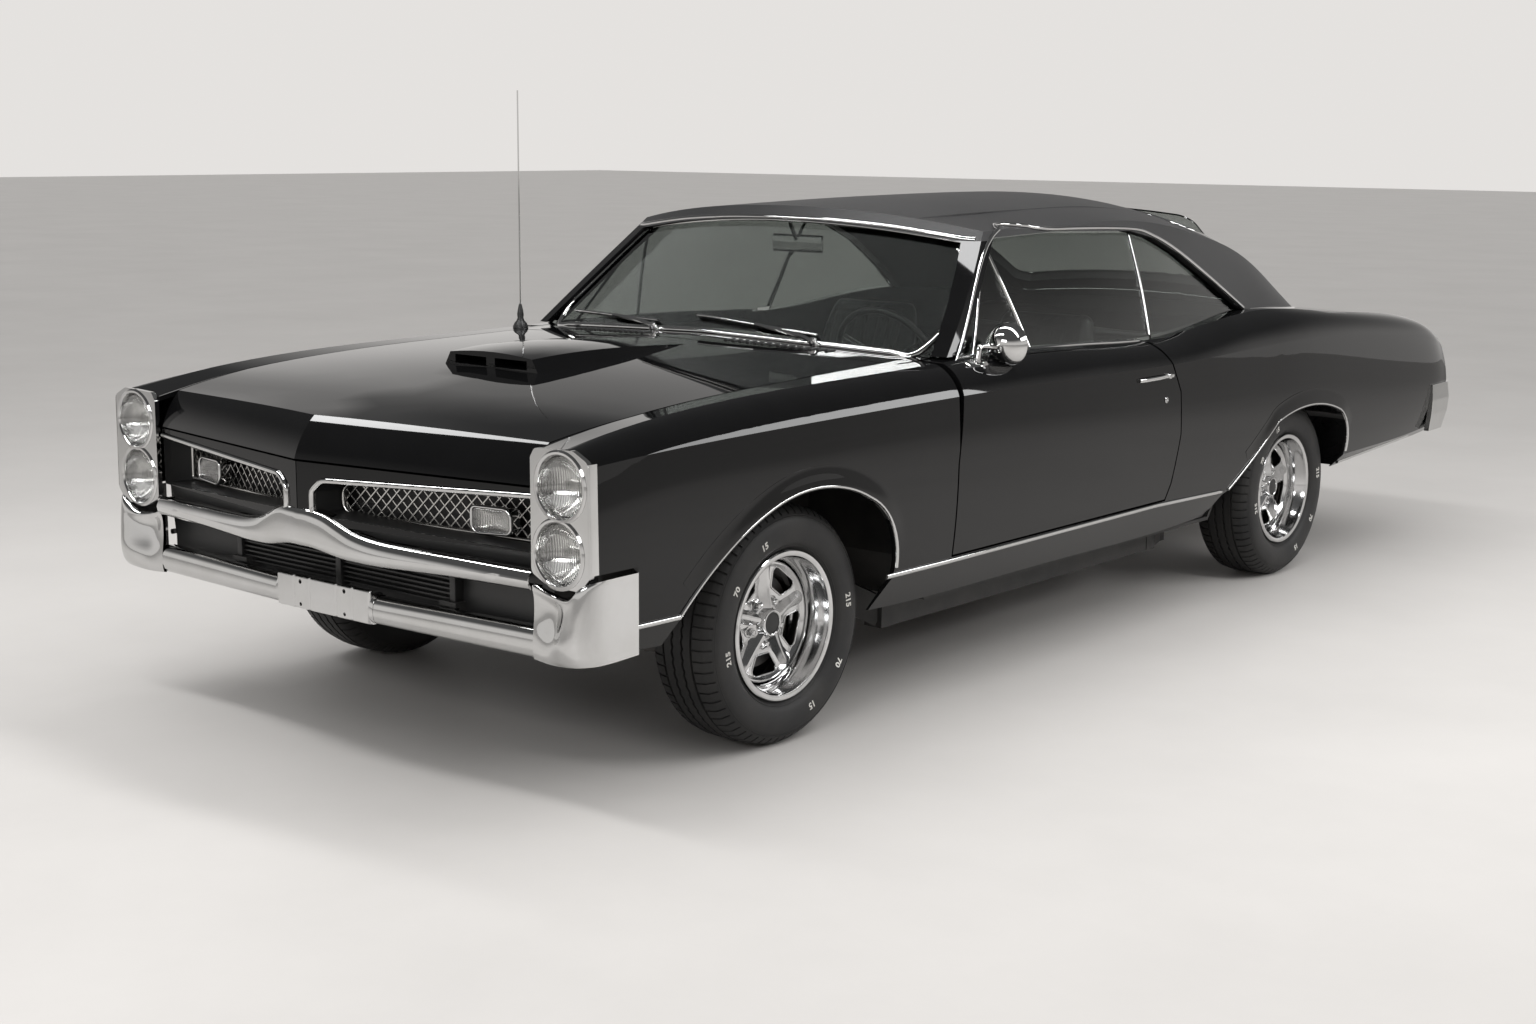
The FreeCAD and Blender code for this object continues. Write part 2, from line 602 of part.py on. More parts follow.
def make_nose_panel():
    plate = box(0, BEZEL_X0 + 10, NOSE_Y - 10, NOSE_Y + GRILLE_DEPTH, 628, NOSE_PANEL_TOP_Z)
    opening = front_outline(GRILLE_OPENING, NOSE_Y - 60, NOSE_Y + 200, [12, 3, 3, 40, 14])
    half = swept_back(plate.cut(opening)).common(box(0, BEZEL_X0 - 2, -2700, -2300, 500, 900))
    return half.fuse(mirrored(half)).removeSplitter()


def make_grille_surround():
    """The black box behind each opening: a rear wall and a floor that runs forward over the bumper."""
    wall = box(0, BEZEL_X0, NOSE_Y + GRILLE_DEPTH + 34, NOSE_Y + GRILLE_DEPTH + 40, 560, 775)
    sill = box(0, BEZEL_X0, NOSE_Y + 30, NOSE_Y + GRILLE_DEPTH + 40, 560, 566)
    apron_line = [(NOSE_Y + 24, 560), (NOSE_Y + 30, 560), (NOSE_Y + 12, 628), (NOSE_Y + 2, 628)]
    apron = prism_x(apron_line, 0, BEZEL_X0)
    half = swept_back(fused([wall, sill, apron])).common(box(0, BEZEL_X0 - 2, -2700, -2300, 500, 900))
    return half.fuse(mirrored(half)).removeSplitter()


def make_grille_mesh():
    """Diamond wires in two layers that end in a rim, on the left half of the nose."""
    y0 = NOSE_Y + GRILLE_DEPTH
    outline = [(82, 646), (732, 636), (732, 762), (82, 726)]
    rim_out = front_outline(outline, y0, y0 + 8, [36, 6, 6, 36])
    shrunk = [(x + (5 if x < 400 else -5), z + (5 if z < 690 else -5)) for x, z in outline]
    hole = front_outline(shrunk, y0 - 10, y0 + 20, [31, 3, 3, 31])
    wires = []
    reach = 330.0
    count = int(900 / MESH_PITCH)
    for layer, lean in ((0, 1), (1, -1)):
        y = y0 + 0.5 + layer * (MESH_WIRE + 0.6)
        for i in range(-count, count + 1):
            wire = box(-MESH_WIRE / 2, MESH_WIRE / 2, y, y + MESH_WIRE, -reach, reach)
            wire.rotate(Vec(0, 0, 0), Vec(0, 1, 0), 45 * lean)
            wire.translate(Vec(407 + i * MESH_PITCH, 0, 695))
            wires.append(wire)
    wires = [w.common(rim_out) for w in wires]
    wires = [w for w in wires if w.Volume > 20]
    rim = rim_out.cut(hole)
    return swept_back(rim.fuse(wires))


def make_parking_lamp():
    x, z, width, height = PARKING_LAMP
    y = NOSE_Y + GRILLE_DEPTH
    corners = [(x - width / 2, z - height / 2), (x + width / 2, z - height / 2 + 6),
               (x + width / 2, z + height / 2), (x - width / 2, z + height / 2)]
    return swept_back(front_outline(corners, y - 26, y - SEAT, [26, 12, 26, 12]))


def turned_y(profile, centre):
    """A profile of (radius, y offset) points turned about the Y axis through the centre."""
    points = [Vec(radius, offset, 0) for radius, offset in profile]
    solid = polygon_face(points).revolve(Vec(0, 0, 0), Vec(0, 1, 0), 360)
    solid.translate(Vec(*centre))
    return solid


def make_bezel(outer):
    """A chrome bezel round both lamps, with a side flange, seated on the fender's front edge."""
    outline = [(BEZEL_X0, 588.0), (BEZEL_X0 + 55, 562.0), (BEZEL_X1 - 40, 562.0), (BEZEL_X1 - 6, 600.0),
               (BEZEL_X1 - 10, 864.0), (BEZEL_X1 - 60, 889.0), (BEZEL_X0 + 14, 884.0), (BEZEL_X0, 862.0)]
    radii = [20, 30, 26, 20, 22, 30, 12, 12]
    plate = front_outline(outline, BEZEL_FRONT_Y, BEZEL_FRONT_Y + BEZEL_T, radii)
    for x, z in LAMPS:
        plate = plate.cut(turned_y([(0, -30), (LENS_R + 10, -30), (LENS_R + SEAT, BEZEL_T - 6),
                                    (LENS_R + SEAT, 60), (0, 60)], (x, BEZEL_FRONT_Y, z)))
    return plate


def make_headlamps():
    """Sealed-beam lamps with domed lenses."""
    lamps = []
    for x, z in LAMPS:
        profile = [(0, -4), (24, -2), (48, 3), (64, 8), (LENS_R, 10), (LENS_R, BEZEL_T - 1), (60, BEZEL_T),
                   (40, 60), (0, 66)]
        lamps.append(turned_y(profile, (x, BEZEL_FRONT_Y, z)))
    return lamps


# ------------------------------------------------------------------ bumpers
# Front bumper stations from the middle to the corner: x, y of the ridge, then top z and bottom z.
FRONT_BAR = [
    (0.0, BUMPER_FRONT_Y, 667.0, 567.0),
    (70.0, BUMPER_FRONT_Y + 6, 664.0, 563.0),
    (120.0, BUMPER_FRONT_Y + 13, 648.0, 553.0),
    (180.0, BUMPER_FRONT_Y + 22, 622.0, 545.0),
    (260.0, BUMPER_FRONT_Y + 34, 606.0, 541.0),
    (450.0, BUMPER_FRONT_Y + 60, 600.0, 544.0),
    (790.0, BUMPER_FRONT_Y + 104, 590.0, 532.0),
]
BAR_DEPTH = 52.0
# Front bumper corner, from its foot up: z, how far its front is behind the bumper's tip, x of its side.
FRONT_CORNER = ((390, 102, 940), (430, 88, 945), (520, 82, 948), (588, 94, 944))
FRONT_CORNER_REAR_Y = -2330.0
# Lower front bar: x and y of its ridge.
PLATE_Y = -2500.0
LOWER_BAR = ((0, PLATE_Y + 6), (190, PLATE_Y + 12), (800, BUMPER_FRONT_Y + 112))
LOWER_BAR_DEPTH = 46.0
LOWER_BAR_Z0 = 376.0
LOWER_BAR_Z1 = 452.0
PLATE_BRACKET_HALF = 186.0
PLATE_BRACKET_Z0 = 375.0
PLATE_BRACKET_Z1 = 463.0
PLATE_HOLE_R = 4.0
PLATE_HOLE_X = 89.0        # a US plate's bolts are 178 mm by 121 mm apart
PLATE_HOLE_Z = 60.5
PLATE_Z = 419.0


def bar_wire(x, y, z0, z1, depth):
    """A bumper bar's section: a bulged face with folded edges."""
    middle = (z0 + z1) / 2
    return Part.Wire([
        Part.LineSegment(Vec(x, y + depth, z0 + 6), Vec(x, y + 26, z0)).toShape(),
        Part.Arc(Vec(x, y + 26, z0), Vec(x, y, middle), Vec(x, y + 26, z1)).toShape(),
        Part.LineSegment(Vec(x, y + 26, z1), Vec(x, y + depth, z1 - 2)).toShape(),
        Part.LineSegment(Vec(x, y + depth, z1 - 2), Vec(x, y + depth, z0 + 6)).toShape(),
    ])


def corner_wire(z, front, side, back, inner_x, depth):
    """A bumper corner in plan: across the end, round the corner and along the body's side to back."""
    toward = 1 if back > front else -1
    points = [Vec(inner_x, front, z), Vec(side - 10, front + toward * 26, z), Vec(side, back, z),
              Vec(side - 22, back, z), Vec(side - 34, front + toward * (depth + 26), z),
              Vec(inner_x, front + toward * depth, z)]
    return rounded(points, [2, 44, 2, 2, 24, 2])


def make_front_bumper(bezels):
    upper = Part.makeLoft([bar_wire(x, y, z0, z1, BAR_DEPTH) for x, y, z1, z0 in FRONT_BAR], True, True)
    corner = Part.makeLoft([corner_wire(z, BUMPER_FRONT_Y + behind, x, FRONT_CORNER_REAR_Y, 770, 80)
                            for z, behind, x in FRONT_CORNER], True, True)
    low_wires = [bar_wire(x, y, LOWER_BAR_Z0, LOWER_BAR_Z1, LOWER_BAR_DEPTH) for x, y in LOWER_BAR]
    lower = Part.makeLoft(low_wires, True, True)
    half = upper.fuse(corner).fuse(lower).cut(bezels)
    whole = half.fuse(mirrored(half)).removeSplitter()
    bracket = box(-PLATE_BRACKET_HALF, PLATE_BRACKET_HALF, PLATE_Y - 4, PLATE_Y + 14,
                  PLATE_BRACKET_Z0, PLATE_BRACKET_Z1)
    holes = [rod((sx * PLATE_HOLE_X, PLATE_Y - 40, PLATE_Z + sz * PLATE_HOLE_Z * 0.5),
                 (sx * PLATE_HOLE_X, PLATE_Y + 80, PLATE_Z + sz * PLATE_HOLE_Z * 0.5), PLATE_HOLE_R)
             for sx in (-1, 1) for sz in (-1, 1)]
    return whole.fuse(bracket).cut(Part.makeCompound(holes))


REAR_BAR = [(0.0, 0.0), (500.0, 8.0), (800.0, 22.0)]     # x, and how far the ridge is ahead of the rearmost
REAR_BAR_TOP_Z = 620.0
REAR_BAR_RIDGE_Z = 555.0
REAR_BAR_FOOT_Z = 430.0
# Rear bumper corner, from its foot up: z, how far its back is ahead of the rearmost, x of its side.
REAR_CORNER = ((430, 62, 930), (500, 30, 938), (556, 22, 940), (620, 38, 936))
REAR_CORNER_FRONT_Y = 2400.0
TAIL_LAMP_X0 = 420.0
TAIL_LAMP_X1 = 770.0
TAIL_LAMP_Z0 = 500.0
TAIL_LAMP_Z1 = 560.0


def make_rear_bumper():
    wires = []
    for x, ahead in REAR_BAR:
        back = BUMPER_REAR_Y - ahead
        inner_top = Vec(x, back - 56, REAR_BAR_TOP_Z)
        inner_foot = Vec(x, back - 62, REAR_BAR_FOOT_Z)
        wires.append(Part.Wire([
            Part.LineSegment(inner_top, Vec(x, back - 16, REAR_BAR_TOP_Z)).toShape(),
            Part.Arc(Vec(x, back - 16, REAR_BAR_TOP_Z), Vec(x, back, REAR_BAR_RIDGE_Z),
                     Vec(x, back - 40, REAR_BAR_FOOT_Z)).toShape(),
            Part.LineSegment(Vec(x, back - 40, REAR_BAR_FOOT_Z), inner_foot).toShape(),
            Part.LineSegment(inner_foot, inner_top).toShape(),
        ]))
    corner_wires = [corner_wire(z, BUMPER_REAR_Y - ahead, x, REAR_CORNER_FRONT_Y, 780, 60 - ahead * 0.3)
                    for z, ahead, x in REAR_CORNER]
    corner = Part.makeLoft(corner_wires, True, True)
    lamp = tail_lamp_box(BUMPER_REAR_Y - 90, BUMPER_REAR_Y + 20)
    half = Part.makeLoft(wires, True, True).fuse(corner).cut(lamp)
    return half.fuse(mirrored(half)).removeSplitter()


def tail_lamp_box(y0, y1):
    return box(TAIL_LAMP_X0, TAIL_LAMP_X1, y0, y1, TAIL_LAMP_Z0, TAIL_LAMP_Z1)


# ------------------------------------------------------------------ underbody
FIREWALL_Y = -1068.0
FIREWALL_TOP_Z = 925.0
TAIL_PANEL_TOP_Z = 742.0
COWL_HALF = DOOR_INNER_X - 13.0       # clear of the doors' inner front corners as they swing
FLOOR_PROFILE = [
    (FIREWALL_Y, FIREWALL_TOP_Z), (FIREWALL_Y, 420.0), (-930.0, FLOOR_Z), (800.0, FLOOR_Z),
    (960.0, TRUNK_FLOOR_Z), (1900.0, TRUNK_FLOOR_Z), (1960.0, 410.0), (2500.0, 410.0),
    (TAIL_Y - FLOOR_T, 470.0), (TAIL_Y - FLOOR_T, TAIL_PANEL_TOP_Z),
]
TUNNEL_HALF = 140.0
TUNNEL_FRONT_RISE = 195.0
TUNNEL_REAR_RISE = 118.0
TUNNEL_REAR_Y = 920.0
FRAME_STATIONS = [
    (420.0, -2450.0, 420.0), (420.0, -1250.0, 400.0), (640.0, -960.0, 215.0), (640.0, 600.0, 215.0),
    (560.0, 812.0, 204.0), (520.0, 1015.0, 408.0), (520.0, 1780.0, 425.0), (520.0, 1950.0, 350.0),
    (520.0, 2480.0, 350.0),
]
RAIL_WIDTH = 60.0
RAIL_HEIGHT = 86.0


def make_floor():
    """Firewall, floor, kick-up, trunk floor and tail panel in one folded sheet, with the shaft tunnel."""
    half = DOOR_INNER_X
    inner = []
    for i, (y, z) in enumerate(FLOOR_PROFILE):
        before = FLOOR_PROFILE[i - 1] if i else None
        after = FLOOR_PROFILE[i + 1] if i + 1 < len(FLOOR_PROFILE) else None
        normals = []
        for a, b in ((before, (y, z)), ((y, z), after)):
            if a and b:
                length = math.hypot(b[0] - a[0], b[1] - a[1])
                normals.append(((a[1] - b[1]) / length, (b[0] - a[0]) / length))
        nx = sum(n[0] for n in normals)
        nz = sum(n[1] for n in normals)
        scale = FLOOR_T * 2 / (nx * nx + nz * nz) if len(normals) == 2 else FLOOR_T
        inner.append((y + nx * scale, z + nz * scale))
    sheet_solid = prism_x(FLOOR_PROFILE + inner[::-1], -half, half)
    tunnel_out = tunnel_block(0.0)
    tunnel_in = tunnel_block(FLOOR_T)
    room_corners = [(TAIL_Y + 400, TAIL_PANEL_TOP_Z), (TAIL_Y + 400, 1300.0), (FIREWALL_Y - 400, 1300.0),
                    (FIREWALL_Y - 400, FIREWALL_TOP_Z)]
    above_floor = prism_x(FLOOR_PROFILE + room_corners, -half, half)
    floor = sheet_solid.fuse(tunnel_out.common(above_floor)).cut(tunnel_in)
    space = rear_wheel_space()
    return floor.cut(space).cut(mirrored(space)).removeSplitter()


def tunnel_block(inset):
    """The shaft tunnel's form, from the firewall to the kick-up."""
    wires = []
    ends = ((FIREWALL_Y - 20 - inset, TUNNEL_FRONT_RISE), (TUNNEL_REAR_Y - inset, TUNNEL_REAR_RISE))
    for y, rise in ends:
        low = TUNNEL_HALF - inset
        high = TUNNEL_HALF - 40 - inset
        z0 = FLOOR_Z - 2 * inset
        z1 = FLOOR_Z + rise - inset
        corners = [Vec(-low, y, z0), Vec(-high, y, z1), Vec(high, y, z1), Vec(low, y, z0)]
        wires.append(Part.makePolygon([*corners, corners[0]]))
    return Part.makeLoft(wires, True, True)


WHEELHOUSE_INNER_X = TRACK_X - TYRE_HALF_WIDTH - 30
WHEELHOUSE_R = TYRE_R + TYRE_CLEARANCE


def rear_wheel_space():
    return rod((WHEELHOUSE_INNER_X - 10, REAR_AXLE_Y, AXLE_Z), (DOOR_INNER_X + 9, REAR_AXLE_Y, AXLE_Z),
               WHEELHOUSE_R + 10)


def make_wheelhouse(floor):
    """The tub over a rear tyre, between the floor and the quarter panel."""
    tub = rod((WHEELHOUSE_INNER_X - 10, REAR_AXLE_Y, AXLE_Z), (DOOR_INNER_X, REAR_AXLE_Y, AXLE_Z),
              WHEELHOUSE_R + 10)
    tub = tub.cut(rod((WHEELHOUSE_INNER_X, REAR_AXLE_Y, AXLE_Z), (DOOR_INNER_X + 9, REAR_AXLE_Y, AXLE_Z),
                      WHEELHOUSE_R))
    tub = tub.common(box(0, DOOR_INNER_X, 0, 2600, TRUNK_FLOOR_Z, 1000))
    return tub.cut(floor)


def make_cowl(outer, hood_gap, fenders):
    """The panel between the hood and the windshield, on top of the firewall."""
    strip = outer.cut(lowered(outer, SKIN)).common(box(-COWL_HALF, COWL_HALF, -1260, -905, 800, 1100))
    for fender in fenders:
        strip = strip.cut(fender)
    strip = strip.cut(hood_gap)
    wall = box(-COWL_HALF, COWL_HALF, FIREWALL_Y, FIREWALL_Y + FLOOR_T, FIREWALL_TOP_Z, 1000)
    return strip.fuse(wall.common(lowered(outer, SKIN - 1))).removeSplitter()


def make_rear_bulkhead(outer, neighbours):
    """Wall behind the rear seat, the shelf under the backlight and the panel ahead of the trunk lid."""
    foot_z = TRUNK_FLOOR_Z + FLOOR_T
    wall = prism_x([(1150, foot_z), (1162, foot_z), (1262, 930), (1250, 930)], -DOOR_INNER_X, DOOR_INNER_X)
    panel_room = box(-LID_EDGE_X + 40, LID_EDGE_X - 40, 1560, LID_FRONT_Y - GAP, 800, 1100)
    top = outer.cut(lowered(outer, SKIN)).common(panel_room)
    shelf = box(-DOOR_INNER_X, DOOR_INNER_X, 1238, 1600, 930, 942)
    riser = box(-LID_EDGE_X + 40, LID_EDGE_X - 40, 1560, 1572, 936, 1100).common(lowered(outer, SKIN - 1))
    bulkhead = fused([wall, shelf, riser, top])
    for neighbour in neighbours:
        bulkhead = bulkhead.cut(neighbour)
    return bulkhead


def make_chassis():
    rails = []
    for side in (1, -1):
        stations = [(side * x, y, z) for x, y, z in FRAME_STATIONS]
        rails += [bar(a, b, RAIL_WIDTH, RAIL_HEIGHT) for a, b in zip(stations, stations[1:])]
        rails += [box(x - 32, x + 32, y - 28, y + 28, z - 43, z + 38) for x, y, z in stations[1:-1]]
    cross = [box(-430, 430, -2400, -2350, 380, 450), box(-430, 430, -1706, -1586, 250, 330),
             box(-470, -410, -1700, -1592, 250, 440), box(410, 470, -1700, -1592, 250, 440),
             box(-650, 650, -440, -380, 228, 258), box(-600, 600, 600, 660, 228, 258),
             box(-530, 530, 1735, 1785, 400, 455), box(-530, 530, 2430, 2480, 320, 380)]
    return fused(rails + cross)


def make_inner_fender():
    """The wheelhouse panel beside the engine."""
    outline = [(444, 470), (456, 470), (456, 722), (742, 776), (742, 790), (444, 734)]
    return prism_y(outline, -2236, FIREWALL_Y)


RADIATOR_HALF = 330.0
RADIATOR_Y = -2242.0
RADIATOR_Z0 = 480.0
RADIATOR_Z1 = 830.0
RADIATOR_T = 40.0


def make_radiator_support():
    """The wall ahead of the engine, with the radiator's core through it."""
    panel = box(-742, 742, RADIATOR_Y - 6, RADIATOR_Y + 6, 470, 860)
    core = box(-RADIATOR_HALF, RADIATOR_HALF, RADIATOR_Y - RADIATOR_T / 2, RADIATOR_Y + RADIATOR_T / 2,
               RADIATOR_Z0, RADIATOR_Z1)
    return panel.fuse(core)


# ------------------------------------------------------------------ drivetrain
ENGINE_HALF = 270.0
ENGINE_FRONT_Y = -1960.0
ENGINE_REAR_Y = -1350.0
ENGINE_FOOT_Z = 335.0
ENGINE_TOP_Z = 830.0
OIL_PAN_Z = 190.0
GEARBOX_HALF = 84.0
GEARBOX_REAR_Y = -420.0
GEARBOX_LINE = [(ENGINE_REAR_Y, 264), (ENGINE_REAR_Y, 600), (-1200, 440), (-1090, 425),
                (GEARBOX_REAR_Y, 350), (GEARBOX_REAR_Y, 264)]
SHAFT_R = 34.0
SHAFT_FRONT_Z = 308.0
AXLE_TUBE_R = 38.0
DIFFERENTIAL_R = 138.0
PINION_LENGTH = 260.0


def make_engine():
    """The engine's plain block with its oil pan, bell housing and gearbox."""
    block = box(-ENGINE_HALF, ENGINE_HALF, ENGINE_FRONT_Y, ENGINE_REAR_Y, ENGINE_FOOT_Z, ENGINE_TOP_Z)
    oil_pan = box(-150, 150, ENGINE_FRONT_Y + 20, -1720, OIL_PAN_Z, ENGINE_FOOT_Z)
    return fused([block, oil_pan, prism_x(GEARBOX_LINE, -GEARBOX_HALF, GEARBOX_HALF)])


def make_rear_axle(chassis):
    """Housing with its tubes, brake drums, spindles and the two arms that reach forward to the frame."""
    tube = rod((-728, REAR_AXLE_Y, AXLE_Z), (728, REAR_AXLE_Y, AXLE_Z), AXLE_TUBE_R)
    housing = Part.makeSphere(DIFFERENTIAL_R, Vec(0, REAR_AXLE_Y, AXLE_Z))
    nose = Part.makeCone(60, 90, 220, Vec(0, REAR_AXLE_Y - PINION_LENGTH, AXLE_Z), Vec(0, 1, 0))
    parts = [tube, housing, nose]
    for side in (-1, 1):
        parts.append(rod((side * 690, REAR_AXLE_Y, AXLE_Z), (side * 742, REAR_AXLE_Y, AXLE_Z), DRUM_R))
        parts.append(spindle(side, REAR_AXLE_Y))
        parts.append(bar((side * 440, 650, 222), (side * 470, REAR_AXLE_Y, 292), 50, 36))
    return fused(parts).cut(chassis)


def spindle(side, y):
    tip = side * (TRACK_X + DISC_X + 20)
    return rod((side * 700, y, AXLE_Z), (tip, y, AXLE_Z), HUB_BORE_R - HUB_CLEARANCE)


def make_knuckle(side):
    """Upright with its brake drum, spindle and steering arm, on the steering axis."""
    x = side * STEER_X
    post = rod((x, FRONT_AXLE_Y, 244), (x, FRONT_AXLE_Y, 436), 24)
    web = box(min(x, side * 742), max(x, side * 742), FRONT_AXLE_Y - 22, FRONT_AXLE_Y + 22, 270, 400)
    drum = rod((side * 718, FRONT_AXLE_Y, AXLE_Z), (side * 742, FRONT_AXLE_Y, AXLE_Z), DRUM_R)
    arm = bar((x, FRONT_AXLE_Y, 268), (side * 672, FRONT_AXLE_Y + 150, 268), 34, 24)
    return fused([post, web, drum, arm, spindle(side, FRONT_AXLE_Y)])


def make_front_suspension():
    """Lower and upper arms with the coil spring's tower between them, on both sides."""
    sets = []
    for side in (1, -1):
        tip_x = side * (STEER_X + 4)
        lower = prism_z([(side * 471, FRONT_AXLE_Y - 150), (side * 471, FRONT_AXLE_Y + 130),
                         (tip_x, FRONT_AXLE_Y + 18), (tip_x, FRONT_AXLE_Y - 18)], 222, 242)
        upper = prism_z([(side * 471, FRONT_AXLE_Y - 110), (side * 471, FRONT_AXLE_Y + 110),
                         (tip_x, FRONT_AXLE_Y + 18), (tip_x, FRONT_AXLE_Y - 18)], 438, 456)
        spring = rod((side * 560, FRONT_AXLE_Y, 242), (side * 560, FRONT_AXLE_Y, 438), 52)
        sets.append(fused([lower, upper, spring]))
    return sets


PIPE_R = 28.0
# The left pipe's run from the engine to the tail, as (x, y, z).
PIPE_RUN = [(200, -1300, 240), (300, -1000, 195), (300, 790, 195), (300, 1000, 425), (300, 1560, 435),
            (446, 1800, 285), (446, 2560, 285)]
MUFFLER_HALF = 110.0


def make_exhaust():
    """Two pipes with a muffler each, jointed at each bend."""
    pipes = []
    for side in (1, -1):
        route = [(side * x, y, z) for x, y, z in PIPE_RUN]
        x = route[1][0]
        runs = [rod(a, b, PIPE_R) for a, b in zip(route, route[1:])]
        runs += [rod((px - 30, py, pz), (px + 30, py, pz), PIPE_R + 1) for px, py, pz in route[1:-1]]
        runs.append(box(x - MUFFLER_HALF, x + MUFFLER_HALF, -100, 420, 150, 240))
        pipes.append(fused(runs))
    return pipes


# ------------------------------------------------------------------ wheels
def make_tyre(x, y):
    """A radial tyre: bead, bulged walls, rounded shoulders and a flat tread, turned in flat facets."""
    w = TYRE_HALF_WIDTH
    bead = RIM_HALF_WIDTH - 13
    half = [(BEAD_R, bead), (RIM_R - 4, bead), (RIM_R + 14, w - 8), (RIM_R + 50, w), (TYRE_R - 38, w - 5),
            (TYRE_R - 12, w - 20), (TYRE_R, w - 42)]
    profile = half + [(r, -offset) for r, offset in half[::-1]]
    step = 2 * math.pi / TYRE_SIDES
    rings = [[Vec(x + offset, y + r * math.sin(i * step), AXLE_Z - r * math.cos(i * step))
              for i in range(TYRE_SIDES)] for r, offset in profile]
    faces = []
    for ring, following in zip(rings, rings[1:] + rings[:1]):
        for i in range(TYRE_SIDES):
            faces.append(polygon_face([ring[i - 1], ring[i], following[i], following[i - 1]]))
    return Part.makeSolid(Part.makeShell(faces))


def make_rim(x, y, side):
    """A styled steel wheel: a drop-centre rim, five spokes with windows between them, lugs and a cap."""
    w = RIM_HALF_WIDTH
    barrel = [(RIM_R - 12, -w), (RIM_R - 4, -w + 8), (BEAD_R - 1, -w + 12), (BEAD_R - 1, -30),
              (BEAD_R - 22, -20), (BEAD_R - 22, 40), (BEAD_R - 1, 50), (BEAD_R - 1, w - 12),
              (RIM_R - 4, w - 8), (RIM_R - 12, w), (RIM_R - 34, w - 10), (BEAD_R - 9, 54),
              (BEAD_R - 30, 44), (BEAD_R - 30, -24), (BEAD_R - 9, -34),
              (BEAD_R - 9, -w + 6)]
    rim = lathe(barrel, (0, 0, 0))
    disc = lathe([(HUB_BORE_R, -2), (HUB_BORE_R, DISC_X + 24), (58, DISC_X + 24), (76, DISC_X + 4),
                  (120, DISC_X + 12), (BEAD_R - 24, DISC_X + 4), (BEAD_R - 24, DISC_X - 12),
                  (120, DISC_X - 4), (76, DISC_X - 14), (70, -2)], (0, 0, 0))
    cap = lathe([(0, DISC_X + 32), (34, DISC_X + 30), (44, DISC_X + 24), (0, DISC_X + 24)], (0, 0, 0))
    window = Part.Face(rounded([Vec(-20, 28, 84), Vec(-20, 60, 150), Vec(-20, -60, 150), Vec(-20, -28, 84)],
                               [12, 20, 20, 12])).extrude(Vec(80, 0, 0))
    cuts = []
    lugs = []
    for i in range(LUG_COUNT):
        angle = 360.0 / LUG_COUNT * i
        cut = window.copy()
        cut.rotate(Vec(0, 0, 0), Vec(1, 0, 0), angle)
        cuts.append(cut)
        lug = rod((DISC_X + 16, 0, LUG_CIRCLE_R), (DISC_X + 38, 0, LUG_CIRCLE_R), 10)
        lug.rotate(Vec(0, 0, 0), Vec(1, 0, 0), angle + 180.0 / LUG_COUNT)
        lugs.append(lug)
    wheel = rim.fuse(disc.cut(Part.makeCompound(cuts))).fuse(lugs).fuse(cap).removeSplitter()
    if side < 0:
        wheel = mirrored(wheel)
    wheel.translate(Vec(x, y, AXLE_Z))
    return wheel


# ------------------------------------------------------------------ cabin
DRIVER_X = 370.0           # each front seat's middle, from the centre line
SEAT_HALF = 238.0
SEAT_RAIL_X = 190.0        # each rail from the seat's middle
# Seat outlines from the side, as (y, z).
CUSHION = [(-330, 340), (-350, 440), (-300, 470), (160, 455), (180, 420), (180, 340)]
BACKREST = [(120, 440), (220, 440), (420, 1010), (380, 1050), (320, 1040)]
BENCH_HALF = 560.0
BENCH = [(548, 392), (535, 440), (590, 475), (950, 448), (1090, 900), (1140, 925), (1228, 915), (1134, 480),
         (955, 392)]
DASH_HALF = 760.0
DASH_LINE = [(-1050, 960), (-1050, 860), (-900, 700), (-850, 700), (-830, 760), (-860, 900), (-905, 945)]
STEERING_RING_R = 190.0
STEERING_GRIP_R = 11.0
STEERING_CENTRE = Vec(DRIVER_X, -560, 895)
STEERING_LEAN = 66.0       # degrees that the wheel leans back


def make_front_seat(x):
    seat = prism_x(CUSHION, x - SEAT_HALF, x + SEAT_HALF)
    seat = seat.fuse(prism_x(BACKREST, x - SEAT_HALF + 4, x + SEAT_HALF - 4))
    rails = [box(x + dx - 20, x + dx + 20, -300, 150, FLOOR_Z + FLOOR_T, 345)
             for dx in (-SEAT_RAIL_X, SEAT_RAIL_X)]
    return seat.fuse(rails).removeSplitter()


def make_rear_seat(floor):
    """The bench on the kick-up, with a riser under its front edge."""
    bench = prism_x(BENCH, -BENCH_HALF, BENCH_HALF)
    risers = [box(x - 20, x + 20, 556, 590, FLOOR_Z, 400) for x in (-400, 400)]
    under_kick = prism_x([(700, 0), (700, FLOOR_Z)] + FLOOR_PROFILE[3:6] + [(1900, 0)], -600, 600)
    return bench.fuse(risers).removeSplitter().cut(floor).cut(under_kick)


def make_dash(outer):
    return prism_x(DASH_LINE, -DASH_HALF, DASH_HALF).common(lowered(outer, SKIN + 4))


